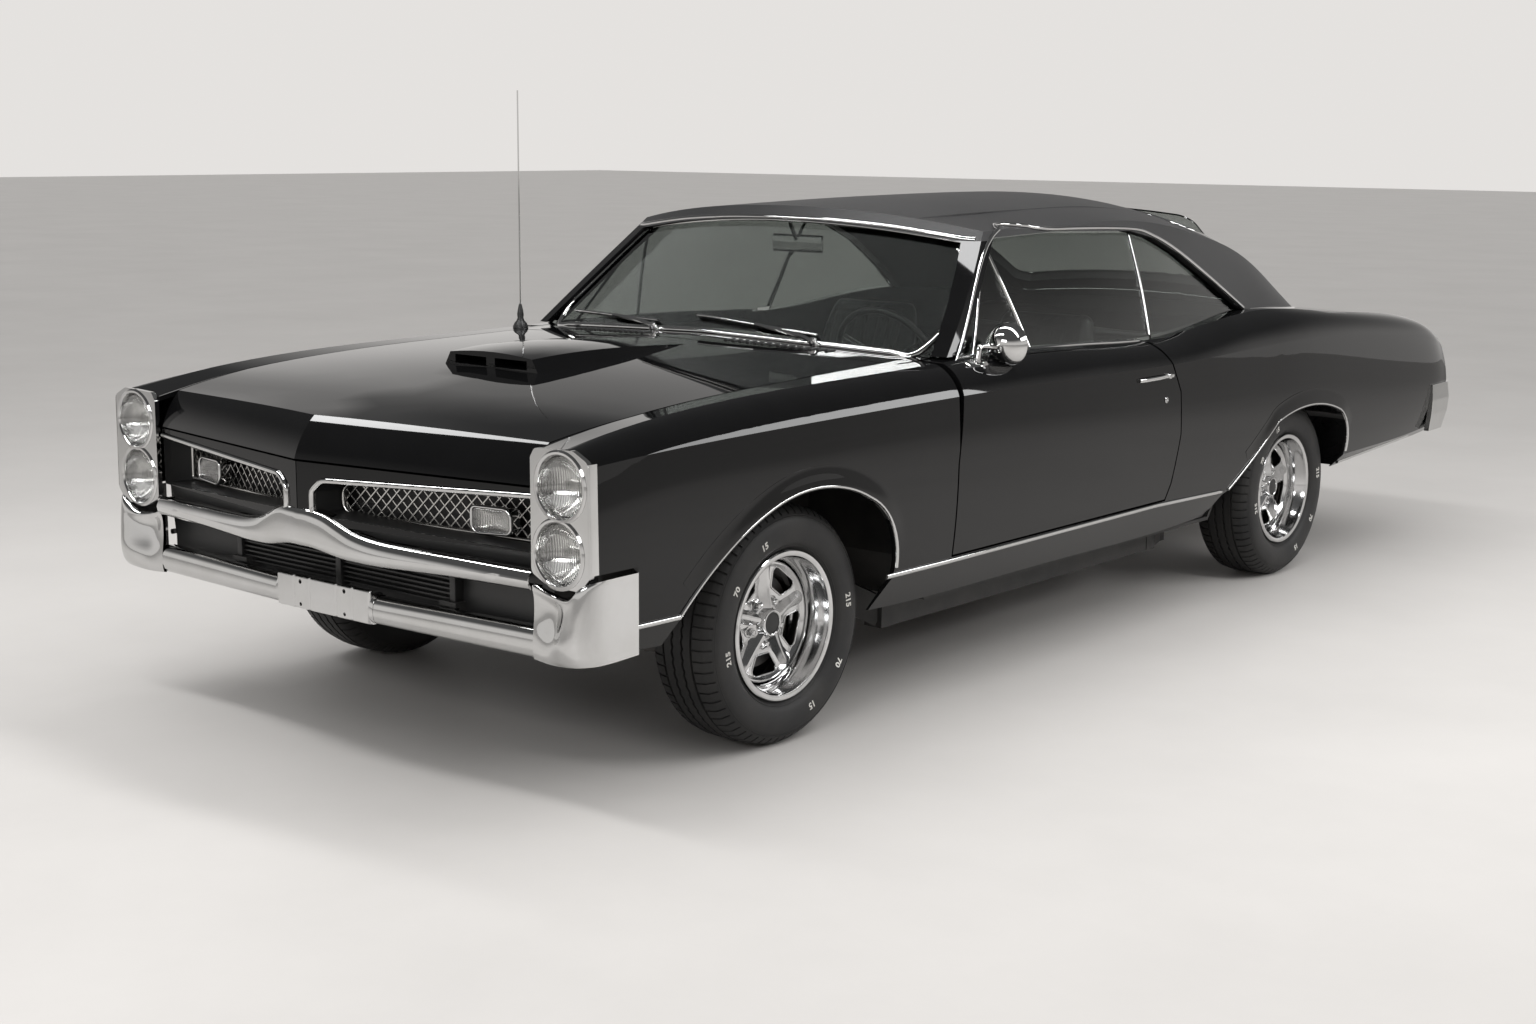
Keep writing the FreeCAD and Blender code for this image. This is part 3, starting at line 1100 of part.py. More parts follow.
def make_steering_wheel():
    """Column, three spokes and a rim, leaned back toward the driver."""
    column = rod((0, 0, -360), (0, 0, 6), 24)
    angles = [math.radians(45 * i + 22.5) for i in range(8)]
    grip = [Vec(STEERING_RING_R + STEERING_GRIP_R * math.cos(a), 0, STEERING_GRIP_R * math.sin(a))
            for a in angles]
    rim = polygon_face(grip).revolve(Vec(0, 0, 0), Vec(0, 0, 1), 360)
    hub = rod((0, 0, -12), (0, 0, 18), 46)
    spokes = []
    for angle in (0, 120, 240):
        spoke = box(-14, 14, 20, STEERING_RING_R - 4, -5, 3)
        spoke.rotate(Vec(0, 0, 0), Vec(0, 0, 1), angle + 180)
        spokes.append(spoke)
    wheel = fused([column, rim, hub] + spokes)
    wheel.rotate(Vec(0, 0, 0), Vec(1, 0, 0), -STEERING_LEAN)
    wheel.translate(STEERING_CENTRE)
    return wheel


MIRROR_FOOT = (871.0, -815.0)
MIRROR_HEAD = (882.0, -690.0, 1004.0)


def make_mirror(outer):
    """A round-backed mirror on a stalk from a pad that follows the door's shoulder."""
    x, y = MIRROR_FOOT
    plan = Part.Face(rounded([Vec(x - 18, y - 60, 850), Vec(x + 18, y - 60, 850), Vec(x + 18, y + 60, 850),
                              Vec(x - 18, y + 60, 850)], 17.0)).extrude(Vec(0, 0, 200))
    pad = lowered(outer, -9).common(plan)
    stalk = rod((x, y, 920), (MIRROR_HEAD[0] - 4, MIRROR_HEAD[1] - 12, MIRROR_HEAD[2] - 8), 9)
    head = turned_y([(0, -44), (34, -36), (58, -12), (65, 14), (65, 22), (0, 22)], MIRROR_HEAD)
    return fused([pad, stalk, head]).cut(outer)


HANDLE_FACE_X = 942.0      # the grip's outer face
HANDLE_FRONT_Y = 16.0
HANDLE_REAR_Y = 232.0
HANDLE_Z = 832.0


def make_handle(door):
    plate = box(HANDLE_FACE_X - 22, HANDLE_FACE_X - 4, HANDLE_FRONT_Y, HANDLE_REAR_Y, HANDLE_Z,
                HANDLE_Z + 14)
    grip = box(HANDLE_FACE_X - 8, HANDLE_FACE_X, HANDLE_FRONT_Y + 18, HANDLE_REAR_Y - 16, HANDLE_Z + 4,
               HANDLE_Z + 18)
    return plate.fuse(grip).removeSplitter().cut(door)


TANK_HALF = 400.0
TANK_FRONT_Y = 1990.0
TANK_REAR_Y = 2410.0
TANK_Z0 = 290.0
TANK_Z1 = 409.0
ANTENNA_FOOT = (-800.0, -1030.0)
ANTENNA_TIP_Z = 1737.0
ANTENNA_R = 2.5


def make_antenna(outer):
    x, y = ANTENNA_FOOT
    mast = rod((x, y, 960), (x, y, ANTENNA_TIP_Z), ANTENNA_R)
    foot = Part.makeCone(20, 10, 66, Vec(x, y, 930), Vec(0, 0, 1))
    return mast.fuse(foot).removeSplitter().cut(outer)


def main():
    os.makedirs("parts", exist_ok=True)
    outer = envelope()
    inner = envelope(SKIN, SKIN)
    shell = outer.cut(inner)

    hood = make_hood(outer)
    put("hood", hood)
    put("trunk_lid", make_trunk_lid(outer))
    fender = make_fender(shell)
    put("fender_left", fender)
    put("fender_right", mirrored(fender))
    rear_bumper = make_rear_bumper()
    put("rear_bumper", rear_bumper)
    put("tail_lamps", *pair(tail_lamp_box(BUMPER_REAR_Y - 60, BUMPER_REAR_Y - 26)))
    quarter = make_quarter(outer, inner, shell, rear_bumper)
    put("quarter_left", quarter)
    put("quarter_right", mirrored(quarter))
    over_doors = lowered(outer, -GAP - 2).common(box(COWL_HALF, 1000, -1100, 200, 500, 1100))
    door_room = fused(pair(over_doors))
    roof_shell = make_roof_shell(outer).cut(door_room)
    pillar_zone = box(-1000, 1000, -1300, -300, 900, PILLAR_TOP_Z)
    put("roof", roof_shell.cut(pillar_zone))
    put("windshield_pillars", roof_shell.common(pillar_zone))
    glass_layer = screen_front(WINDSHIELD_SINK + GLASS_T).cut(screen_front(WINDSHIELD_SINK))
    windshield = glass_layer.common(cab(ROOF_T)).common(box(-1000, 1000, -1300, 0, 960, 1500)).cut(outer)
    windshield = windshield.cut(door_room)
    put("windshield", windshield)
    side_layer = cab(SIDE_GLASS_INSET).cut(cab(SIDE_GLASS_INSET + GLASS_T))
    side_layer = side_layer.common(box(400, 1000, -1300, 1200, 950, 1400))
    over_quarter = lowered(quarter, -GLASS_RISE)
    over_quarter.translate(Vec(0, -GLASS_RISE, 0))
    door_glass = side_layer.common(window_block(GAP, None, 0.0)).cut(over_quarter)
    quarter_glass = side_layer.common(window_block(GAP, 9.0, None)).cut(outer)
    door = make_door(outer, door_glass)
    put("door_left", door)
    put("door_right", mirrored(door))
    put("door_glass_left", door_glass)
    put("door_glass_right", mirrored(door_glass))
    put("quarter_glass", *pair(quarter_glass))
    rocker = make_rocker(outer)
    put("rockers", *pair(rocker))

    bezel = make_bezel(outer)
    lamps = make_headlamps()
    bumper = make_front_bumper(fused([bezel, *lamps]))
    put("front_bumper", bumper)
    put("lamp_bezels", *pair(bezel))
    put("headlamps", *lamps, *[mirrored(one) for one in lamps])
    put("nose_panel", make_nose_panel().cut(bumper))
    put("grille_surround", make_grille_surround().cut(bumper))
    lamp = make_parking_lamp()
    put("parking_lamps", *pair(lamp))
    put("grille_mesh", *pair(make_grille_mesh().cut(lamp)))

    floor = make_floor().cut(rear_bumper)
    put("floor_pan", floor)
    put("wheelhouses", *pair(make_wheelhouse(floor)))
    put("cowl", make_cowl(outer, hood_plan(GAP / 2), pair(fender)))
    bulkhead = make_rear_bulkhead(outer, (quarter, mirrored(quarter), *pair(rear_wheel_space())))
    put("rear_bulkhead", bulkhead)
    put("rear_glass", make_rear_glass().cut(bulkhead))
    chassis = make_chassis().cut(bumper)
    put("chassis", chassis)
    put("inner_fenders", *pair(make_inner_fender()))
    put("radiator_support", make_radiator_support())
    put("engine", make_engine())
    put("rear_axle", make_rear_axle(chassis))
    shaft_rear = (0, REAR_AXLE_Y - PINION_LENGTH - 2, AXLE_Z)
    put("driveshaft", rod((0, GEARBOX_REAR_Y + 2, SHAFT_FRONT_Z), shaft_rear, SHAFT_R))
    put("knuckle_left", make_knuckle(1))
    put("knuckle_right", make_knuckle(-1))
    put("front_suspension", *make_front_suspension())
    put("exhaust", *make_exhaust())
    put("fuel_tank", box(-TANK_HALF, TANK_HALF, TANK_FRONT_Y, TANK_REAR_Y, TANK_Z0, TANK_Z1))

    for end, y in (("f", FRONT_AXLE_Y), ("r", REAR_AXLE_Y)):
        for hand, side in (("l", 1), ("r", -1)):
            put(f"rim_{end}{hand}", make_rim(side * TRACK_X, y, side))
            put(f"tyre_{end}{hand}", make_tyre(side * TRACK_X, y))

    put("front_seats", make_front_seat(DRIVER_X), make_front_seat(-DRIVER_X))
    put("rear_seat", make_rear_seat(floor))
    dash = make_dash(outer)
    put("dash", dash)
    put("steering_wheel", make_steering_wheel().cut(dash))
    put("mirror_left", make_mirror(outer))
    handle = make_handle(door)
    put("door_handle_left", handle)
    put("door_handle_right", mirrored(handle))
    put("antenna", make_antenna(outer))


if __name__ == "__main__":
    main()
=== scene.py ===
"""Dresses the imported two-door hardtop: finishes, trim, wheels, lamps, cabin and the studio round it."""

import json
import math

import bmesh
import bpy
from bpy.props import FloatProperty, FloatVectorProperty, PointerProperty
from mathutils import Matrix, Vector
from mathutils.bvhtree import BVHTree
from mathutils.interpolate import poly_3d_calc


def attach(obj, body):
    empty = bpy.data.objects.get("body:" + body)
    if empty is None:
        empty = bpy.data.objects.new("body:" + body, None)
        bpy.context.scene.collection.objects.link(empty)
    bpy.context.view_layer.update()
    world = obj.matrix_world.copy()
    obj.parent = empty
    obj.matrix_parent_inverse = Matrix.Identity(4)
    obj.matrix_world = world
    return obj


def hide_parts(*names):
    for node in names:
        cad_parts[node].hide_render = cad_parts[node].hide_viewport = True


bl_info = {
    "name": "Hardtop muscle car",
    "version": (1, 0, 0),
    "blender": (4, 5, 0),
    "location": "3D View > Sidebar > Hardtop",
    "description": "Dresses a packed two-door hardtop with its finishes, trim, wheels, lamps and cabin",
    "category": "Object",
}

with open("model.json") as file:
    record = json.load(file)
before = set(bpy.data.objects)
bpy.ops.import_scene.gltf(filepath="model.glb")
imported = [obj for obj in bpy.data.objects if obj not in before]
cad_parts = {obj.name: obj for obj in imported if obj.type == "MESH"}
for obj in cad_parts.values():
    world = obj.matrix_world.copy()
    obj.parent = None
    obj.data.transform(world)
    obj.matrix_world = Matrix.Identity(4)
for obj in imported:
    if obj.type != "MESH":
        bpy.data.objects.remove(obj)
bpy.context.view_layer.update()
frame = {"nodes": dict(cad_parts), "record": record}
NODES = frame["nodes"]
SLOT_OF = {row["node"]: row["material_slot"] for row in frame["record"]["subparts"]}
BODY, DOORS = ("body", "body"), ("door_left", "door_right")

# Looks of the added pieces: the record's slot and the material.
BLACK = ("black_trim", "satin black trim")
BRIGHT_MESH = ("bright_mesh", "bright mesh")
CHROME = ("chrome_trim", "chrome plate")
CLEAR_LENS = ("lamp_lens", "fluted clear lens")
MIRROR = ("chrome_trim", "bright mesh")
PAINT = ("body_paint", "black enamel")
WHITE = ("tyre_rubber", "white rubber")

# ------------------------------------------------------------------ geometry helpers
DATUM_Y = -38.0            # the drawing datum in millimetres, seen from the origin
X, Y, Z = Vector((1, 0, 0)), Vector((0, 1, 0)), Vector((0, 0, 1))


def mm(x, y, z):
    """A point of the drawing, in millimetres from its datum, as metres from the origin."""
    return Vector((x, y + DATUM_Y, z)) * 0.001


def drawn(line):
    """A side-view line in drawing millimetres as (y, z) in metres from the origin."""
    return [((y + DATUM_Y) * 0.001, z * 0.001) for y, z in line]


def flipped(p, side=-1.0):
    """The point on the car's other side, or unchanged where side is 1."""
    return Vector((p.x * side, p.y, p.z))


def arc_through(a, b, c, steps):
    """Points on the circle from a through b to c, without the last one."""
    ab, ac = b - a, c - a
    normal = ab.cross(ac)
    if normal.length_squared < 1e-16:
        return [a.lerp(c, i / steps) for i in range(steps)]
    centre = a + (ac.length_squared * normal.cross(ab) + ab.length_squared * ac.cross(normal)) / (
        2 * normal.length_squared)
    axis, start, end = normal.normalized(), a - centre, c - centre
    side = axis.cross(start)
    turn = math.atan2(end.dot(side) / side.length, end.dot(start) / start.length) % math.tau
    return [centre + Matrix.Rotation(turn * i / steps, 3, axis) @ start for i in range(steps)]


def smooth_table(rows, steps):
    """A table of numbers smoothed along its rows by a Catmull-Rom line."""
    first, last = ([2 * a - b for a, b in zip(*pair)] for pair in (rows[:2], rows[:-3:-1]))
    padded = [first, *rows, last]
    table = []
    for i in range(len(rows) - 1):
        for t in (j / steps for j in range(steps)):
            table.append([0.5 * (2 * b + (c - a) * t + (2 * a - 5 * b + 4 * c - d) * t * t
                                 + (3 * b - a - 3 * c + d) * t ** 3) for a, b, c, d in zip(*padded[i:i + 4])])
    return [*table, list(rows[-1])]


def smooth_through(points, steps):
    return [Vector(p) for p in smooth_table(points, steps)]


def resampled(points, step):
    """The same line with points at even spacing."""
    line = [Vector(points[0])]
    spare = 0.0
    for a, b in zip(points, points[1:]):
        a, b = Vector(a), Vector(b)
        length = (b - a).length
        travelled = step - spare
        while travelled <= length:
            line.append(a.lerp(b, travelled / length))
            travelled += step
        spare = (spare + length) % step
    return [*line, Vector(points[-1])]


def rounded_outline(points, radii, steps=6):
    """An outline of (x, z) points with its corners rounded."""
    line = []
    for i, (point, radius) in enumerate(zip(points, radii)):
        here = Vector(point)
        before = (Vector(points[i - 1]) - here).normalized()
        after = (Vector(points[(i + 1) % len(points)]) - here).normalized()
        half = before.angle(after) / 2
        centre = here + (before + after).normalized() * radius / math.sin(half)
        start = here + before * (radius / math.tan(half)) - centre
        turn = math.copysign(math.pi - 2 * half, before.y * after.x - before.x * after.y)
        line += [centre + Matrix.Rotation(turn * j / steps, 2) @ start for j in range(steps + 1)]
    return line


def rows_mesh(rows, loop=False, tube=True, caps=True):
    """A mesh from rows of equally many points; a loop joins the last to the first, a tube closes each."""
    width, length = len(rows[0]), len(rows)
    faces = []
    for i in range(length if loop else length - 1):
        for j in range(width if tube else width - 1):
            k = (j + 1) % width
            after = ((i + 1) % length) * width
            faces.append((i * width + j, i * width + k, after + k, after + j))
    if caps and tube and not loop:
        faces.append(tuple(range(width)))
        faces.append(tuple((length - 1) * width + j for j in range(width)))
    return faces_mesh([p for row in rows for p in row], faces)


def faces_mesh(points, faces):
    mesh = bpy.data.meshes.new("part")
    mesh.from_pydata([tuple(p) for p in points], [], faces)
    work = bmesh.new()
    work.from_mesh(mesh)
    bmesh.ops.remove_doubles(work, verts=work.verts, dist=1e-6)
    bmesh.ops.recalc_face_normals(work, faces=work.faces)
    return edited_mesh(work, mesh)


def edited_mesh(work, mesh=None):
    """The mesh that an edit leaves, as a new one or in the given one."""
    mesh = mesh or bpy.data.meshes.new("part")
    work.to_mesh(mesh)
    work.free()
    return mesh


def joined(meshes):
    """One mesh out of several."""
    work = bmesh.new()
    for mesh in meshes:
        work.from_mesh(mesh)
        bpy.data.meshes.remove(mesh)
    return edited_mesh(work)


def sweep(path, outs, profile, closed=False, swell=None):
    """Carries a profile of (across, out) points along a path.

    outs is the outward direction, or one for each point; swell scales the profile's height at each point.
    """
    if isinstance(outs, Vector):
        outs = [outs] * len(path)
    rows = []
    last = len(path) - 1
    for i, (p, out, tall) in enumerate(zip(path, outs, swell or [1.0] * len(path))):
        before = path[i - 1] if i or closed else p
        after = path[(i + 1) % len(path)] if i < last or closed else p
        along = (after - before).normalized()
        across = out.cross(along).normalized()
        normal = along.cross(across)
        rows.append([p + across * a + normal * (b * tall if b > 0 else b) for a, b in profile])
    return rows_mesh(rows, loop=closed)


def half_round(width, height, steps=8, foot=0.0015):
    """A domed strip's profile, with its foot sunk a little."""
    dome = [(math.cos(math.pi * i / steps) * width / 2, math.sin(math.pi * i / steps) * height)
            for i in range(steps + 1)]
    return [*dome, (-width / 2, -foot), (width / 2, -foot)]


def turns(steps, offset=0.0):
    """Evenly spaced angles of a full turn, moved on by a share of one step."""
    return [math.tau * (i + offset) / steps for i in range(steps)]


def round_profile(radius, steps=10):
    return [(math.cos(a) * radius, math.sin(a) * radius) for a in turns(steps)]


def lathe(profile, centre=(0, 0, 0), axis=X, steps=48):
    """Turns a profile of (radius, offset) points about an axis through the centre."""
    axis = Vector(axis).normalized()
    first = axis.orthogonal().normalized()
    second = axis.cross(first)
    rows = []
    for angle in turns(steps):
        out = first * math.cos(angle) + second * math.sin(angle)
        rows.append([Vector(centre) + out * r + axis * o for r, o in profile])
    return rows_mesh(rows, loop=True, tube=False)


def block(low, high, bevel=0.0, segments=3):
    """A box between two corners with rounded edges."""
    work = bmesh.new()
    bmesh.ops.create_cube(work, size=1.0)
    for v in work.verts:
        v.co = Vector([a + (share + 0.5) * (b - a) for share, a, b in zip(v.co, low, high)])
    if bevel:
        bmesh.ops.bevel(work, geom=work.edges[:], offset=bevel, segments=segments, profile=0.5,
                        affect="EDGES")
    return edited_mesh(work)


def mirrored_mesh(mesh):
    copy = mesh.copy()
    copy.transform(Matrix.Diagonal((-1.0, 1.0, 1.0, 1.0)))
    copy.flip_normals()
    return copy


def linked(name, data):
    """A new object in the scene."""
    thing = bpy.data.objects.new(name, data)
    bpy.context.scene.collection.objects.link(thing)
    return thing


def evaluated(thing, *tools):
    """The mesh an object's modifiers leave; the object and its tools go."""
    bpy.context.view_layer.update()
    result = bpy.data.meshes.new_from_object(thing.evaluated_get(bpy.context.evaluated_depsgraph_get()))
    for used in (thing, *tools):
        bpy.data.objects.remove(used)
    return result


def carved(mesh, cutters):
    """The mesh with the cutters' volumes taken out."""
    thing = linked("carving", mesh)
    tools = [linked("cutter", cutter) for cutter in cutters]
    for tool in tools:
        cut = thing.modifiers.new("cut", "BOOLEAN")
        cut.operation = "DIFFERENCE"
        cut.object = tool
    result = evaluated(thing, *tools)
    for cutter in cutters:
        bpy.data.meshes.remove(cutter)
    return result


def add_piece(name, mesh, look, body="body", sharp=35.0, replaces=()):
    """Puts a mesh in the scene as a piece that rides on a body and takes its look's material."""
    slot, material = look
    mesh.name = name
    mesh.materials.clear()
    mesh.materials.append(bpy.data.materials[material])
    mesh.shade_smooth()
    if sharp:
        mesh.set_sharp_from_angle(angle=math.radians(sharp))
    piece = linked(name, mesh)
    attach(piece, body)
    if replaces:
        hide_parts(*replaces)
    return piece


def add_pair(name, mesh, look, bodies=BODY, replaces=((), ())):
    """The same piece on the left and, mirrored, on the right."""
    twin = mirrored_mesh(mesh)
    add_piece(f"{name}_left", mesh, look, bodies[0], replaces=replaces[0])
    add_piece(f"{name}_right", twin, look, bodies[1], replaces=replaces[1])


# ------------------------------------------------------------------ the body's smooth outer surface
# Body sections from nose to tail: y, then x and z of the sill edge, the lower moulding line, the widest
# line, the shoulder crease, the crown of the fender or belt and the shut line, then z on the centre line.
SECTIONS = [
    (-2600, (868, 386), (905, 447), (930, 640), (915, 838), (848, 868), (745, 856), (0, 880)),
    (-2440, (872, 386), (912, 447), (936, 640), (925, 852), (852, 892), (750, 878), (0, 905)),
    (-2150, (868, 370), (918, 440), (938, 650), (931, 866), (852, 932), (762, 924), (0, 942)),
    (-1646, (856, 330), (921, 415), (940, 660), (933, 876), (850, 958), (760, 956), (0, 985)),
    (-1000, (852, 300), (920, 405), (939, 660), (932, 882), (846, 968), (735, 972), (0, 1004)),
    (-300, (852, 300), (918, 405), (937, 650), (929, 880), (838, 966), (730, 970), (0, 1000)),
    (290, (852, 298), (916, 405), (934, 650), (925, 874), (832, 950), (730, 954), (0, 985)),
    (800, (854, 320), (916, 402), (937, 660), (925, 884), (836, 992), (740, 994), (0, 1006)),
    (1275, (860, 350), (918, 412), (940, 670), (925, 890), (838, 990), (740, 984), (0, 996)),
    (1900, (868, 385), (912, 425), (935, 670), (913, 856), (838, 940), (735, 934), (0, 950)),
    (2400, (872, 412), (900, 440), (926, 650), (900, 806), (832, 878), (725, 874), (0, 888)),
    (2600, (868, 430), (884, 450), (908, 640), (884, 748), (820, 800), (715, 800), (0, 812)),
]
CREASE_RISE = 0.62         # height of each half of the deck midway to the centre crease
SHOULDER_BULGE = Vector((0.013, 0, 0.009))
CAB_FOOT, CAB_BULGE = Vector((0.06, 0, -0.2)), Vector((0.014, 0, 0.008))
# Cab sections from the windshield header to the tail of the sail panels: y, then x and z where the side
# leaves the belt, x and z of the roof's edge, and z on the centre line.
CAB_SECTIONS = [
    (-1200, (846, 930), (690, 1280), (0, 1352)),
    (-520, (840, 930), (690, 1320), (0, 1386)),
    (0, (838, 930), (690, 1330), (0, 1399)),
    (450, (838, 930), (686, 1322), (0, 1405)),
    (900, (842, 930), (650, 1262), (0, 1384)),
    (1250, (846, 925), (610, 1192), (0, 1292)),
    (1560, (836, 905), (602, 1062), (0, 1130)),
    (1775, (812, 880), (600, 946), (0, 962)),
]


def section_lines(sections):
    """Smooth lengthwise lines through each of the sections' corners, left side."""
    return zip(*[smooth_through([mm(row[k][0], row[0], row[k][1]) for row in sections], 10)
                 for k in range(1, len(sections[0]))])


def body_strips():
    """Lengthwise strips of the body's outer surface on the left, each smooth in itself."""
    rows = []
    for a, b, c, d, e, f, g in section_lines(SECTIONS):
        bulge = (d + e) * 0.5 + SHOULDER_BULGE
        halfway = Vector((f.x / 2, f.y, f.z + (g.z - f.z) * CREASE_RISE))
        rows.append(([a.lerp(b, i / 3) for i in range(4)], [*arc_through(b, c, d, 16), d],
                     [*arc_through(d, bulge, e, 8), e], [e.lerp(f, i / 3) for i in range(4)],
                     [*arc_through(f, halfway, g, 10), g]))
    return [list(strip) for strip in zip(*rows)]


def cab_strips(inset=0.0):
    """The cab's side and roof as two lengthwise strips on the left, moved in by an inset in metres."""
    side, roof = [], []
    for a, b, c in section_lines(CAB_SECTIONS):
        foot = a + CAB_FOOT - X * inset
        rail = b - Vector((inset, 0, inset * 0.8))
        top = c - Vector((0, 0, inset))
        waist = (foot + rail) * 0.5 + CAB_BULGE
        side.append([*arc_through(foot, waist, rail, 16), rail])
        roof.append([*arc_through(rail, top, flipped(rail), 24)[:12], top])
    return [side, roof]


def steps_along(line):
    """From each entry's forerunner to its follower, the ends standing for their missing neighbours."""
    return zip([line[0], *line], [*line[1:], line[-1]])


def grid_normals(rows):
    """The outward direction at every point of a grid."""
    return [[(right - left).cross(b - a).normalized()
             for (left, right), a, b in zip(steps_along(row), before, after)]
            for row, (before, after) in zip(rows, steps_along(rows))]


class SmoothSurface:
    """A surface as a fine grid with its own outward directions, on both sides of the car."""

    def __init__(self, strips):
        points, outward, faces, starts = [], [], [], [0]
        for rows in strips:
            normals = grid_normals(rows)
            width = len(rows[0])
            for side in (1.0, -1.0):
                start = len(points)
                points += [flipped(p, side) for row in rows for p in row]
                outward += [flipped(n, side) for line in normals for n in line]
                for i in range(len(rows) - 1):
                    for k in range(start + i * width, start + (i + 1) * width - 1):
                        faces += [(k, k + 1, k + width + 1), (k, k + width + 1, k + width)]
            starts.append(len(faces))
        if outward[5].x < 0:
            outward = [-n for n in outward]
        self.points, self.outward, self.faces = points, outward, faces
        self.tree = BVHTree.FromPolygons(points, faces)
        self.lanes = [(a, BVHTree.FromPolygons(points, faces[a:b])) for a, b in zip(starts, starts[1:])]

    def direction(self, place, face):
        corners = self.faces[face]
        weights = poly_3d_calc([self.points[i] for i in corners], place)
        return sum((self.outward[i] * weight for i, weight in zip(corners, weights)), Vector()).normalized()

    def seen(self, start, toward):
        """The point that a look from a place meets, and its outward direction."""
        place, _, face, _ = self.tree.ray_cast(Vector(start), toward)
        return place, self.direction(place, face)

    def side(self, y, z):
        """The car's left side at a station and a height."""
        return self.seen((1.4, y, z), -X)

    def top(self, x, y, start=1.4):
        """The surface from above, seen from a height."""
        return self.seen((x, y, start), -Z)

    def lane_at(self, place, reach):
        """The strip that passes nearest to a place, or None where none is within reach."""
        gaps = [(tree.find_nearest(place, reach)[3], lane) for lane, (_, tree) in enumerate(self.lanes)]
        return min((gap for gap in gaps if gap[0] is not None), default=(None, None))[1]

    def on_lane(self, lane, place):
        """The outward direction of one strip nearest to a place."""
        start, tree = self.lanes[lane]
        found, _, face, _ = tree.find_nearest(place)
        return self.direction(found, face + start)


GLASS_INSET = 0.016        # how far the side glass sits inside the cab's surface
SURFACE = SmoothSurface(body_strips())
CAB, SIDE_GLASS = SmoothSurface(cab_strips()), SmoothSurface(cab_strips(GLASS_INSET))
SKIN_NODES = ("hood", "trunk_lid", "fender_left", "fender_right", "quarter_left", "quarter_right", *DOORS,
              "rockers", "cowl")


def smooth_shading(mesh):
    """Gives the faces that lie on the body's surface that surface's own outward directions."""
    reach, agreement = 0.004, 0.9
    shading = [Vector(loop.vector) for loop in mesh.corner_normals]
    for face in mesh.polygons:
        lane = SURFACE.lane_at(face.center, reach)
        if lane is None or SURFACE.on_lane(lane, face.center).dot(face.normal) < agreement:
            continue
        for loop in face.loop_indices:
            shading[loop] = SURFACE.on_lane(lane, mesh.vertices[mesh.loops[loop].vertex_index].co)
    mesh.normals_split_custom_set(shading)


# Windshield edge at the base and at the header: x and y and z of the corner, then y in the middle.
SCREEN_BASE = (0.801, -0.909, 0.985, -1.062)
SCREEN_TOP = (0.688, -0.52, 1.322, -0.7)


def screen_y(x, z, back=0.0):
    """Where the windshield's surface lies at a distance from the centre line and a height."""
    t = (z - SCREEN_BASE[2]) / (SCREEN_TOP[2] - SCREEN_BASE[2])
    corner_x, corner_y, _, middle_y = (a + t * (b - a) for a, b in zip(SCREEN_BASE, SCREEN_TOP))
    return middle_y + (corner_y - middle_y) * (x / corner_x) ** 2 + back + DATUM_Y * 0.001


def crossing(at, low, high):
    """Where a rising or falling measure passes zero between two values, by halving."""
    sign = at(low) > 0
    for _ in range(24):
        middle = (low + high) / 2
        if (at(middle) > 0) == sign:
            low = middle
        else:
            high = middle
    return (low + high) / 2


FRONT_AXLE_Y, REAR_AXLE_Y = -1646.0, 1275.0
# Wheel openings: the axle, the height where the bright lip starts, then the edge's corners from the axle.
ARCHES = {
    "front": (FRONT_AXLE_Y, 0.416, [(-560, -200), (-500, 118), (-330, 268), (-140, 356), (45, 374),
                                    (240, 318), (345, 225), (374, 110), (310, -200)]),
    "rear": (REAR_AXLE_Y, 0.39, [(-700, -200), (-611, 60), (-440, 165), (-270, 282), (-60, 318),
                                  (236, 278), (322, 205), (346, 110), (330, -200)]),
}


def arch_line(axle_y, points):
    """A wheel opening's edge as (y, z) in metres: a straight side, three arcs and a straight side."""
    p = [mm(0, axle_y + dy, 325 + dz) for dy, dz in points]
    line = [p[0].lerp(p[1], i / 4) for i in range(4)]
    for k in (1, 3, 5):
        line += arc_through(*p[k:k + 3], 14)
    line += [p[7].lerp(p[8], i / 4) for i in range(5)]
    return [(q.y, q.z) for q in line]


# ------------------------------------------------------------------ shared node groups
def add_group(name, inputs, output):
    """A node group with its inputs' defaults and one output; a tuple stands for a colour."""
    tree = bpy.data.node_groups.new(name, "ShaderNodeTree")
    for label, default in inputs.items():
        kind = "NodeSocketColor" if isinstance(default, tuple) else "NodeSocketFloat"
        tree.interface.new_socket(label, in_out="INPUT", socket_type=kind).default_value = default
    tree.interface.new_socket(output, in_out="OUTPUT", socket_type=(
        "NodeSocketColor" if output == "Color" else "NodeSocketFloat"))
    return tree, tree.nodes.new("NodeGroupInput"), tree.nodes.new("NodeGroupOutput")


def feed(node, inputs):
    """Sets a node's inputs: a (node, output) pair becomes a link, anything else a value."""
    for label, source in inputs.items():
        if isinstance(source, tuple) and isinstance(source[0], bpy.types.Node):
            node.id_data.links.new(source[0].outputs[source[1]], node.inputs[label])
        else:
            node.inputs[label].default_value = source
    return node


def add_node(tree, kind, inputs, **settings):
    node = tree.nodes.new("ShaderNode" + kind)
    for name, value in settings.items():
        setattr(node, name, value)
    return feed(node, inputs)


def add_noise(tree, start, **values):
    """A noise in object space at the group's own scale."""
    place = add_node(tree, "TexCoord", {})
    where = {"Vector": (place, "Object"), "Scale": (start, "Scale")}
    return where, add_node(tree, "TexNoise", {**where, **values})


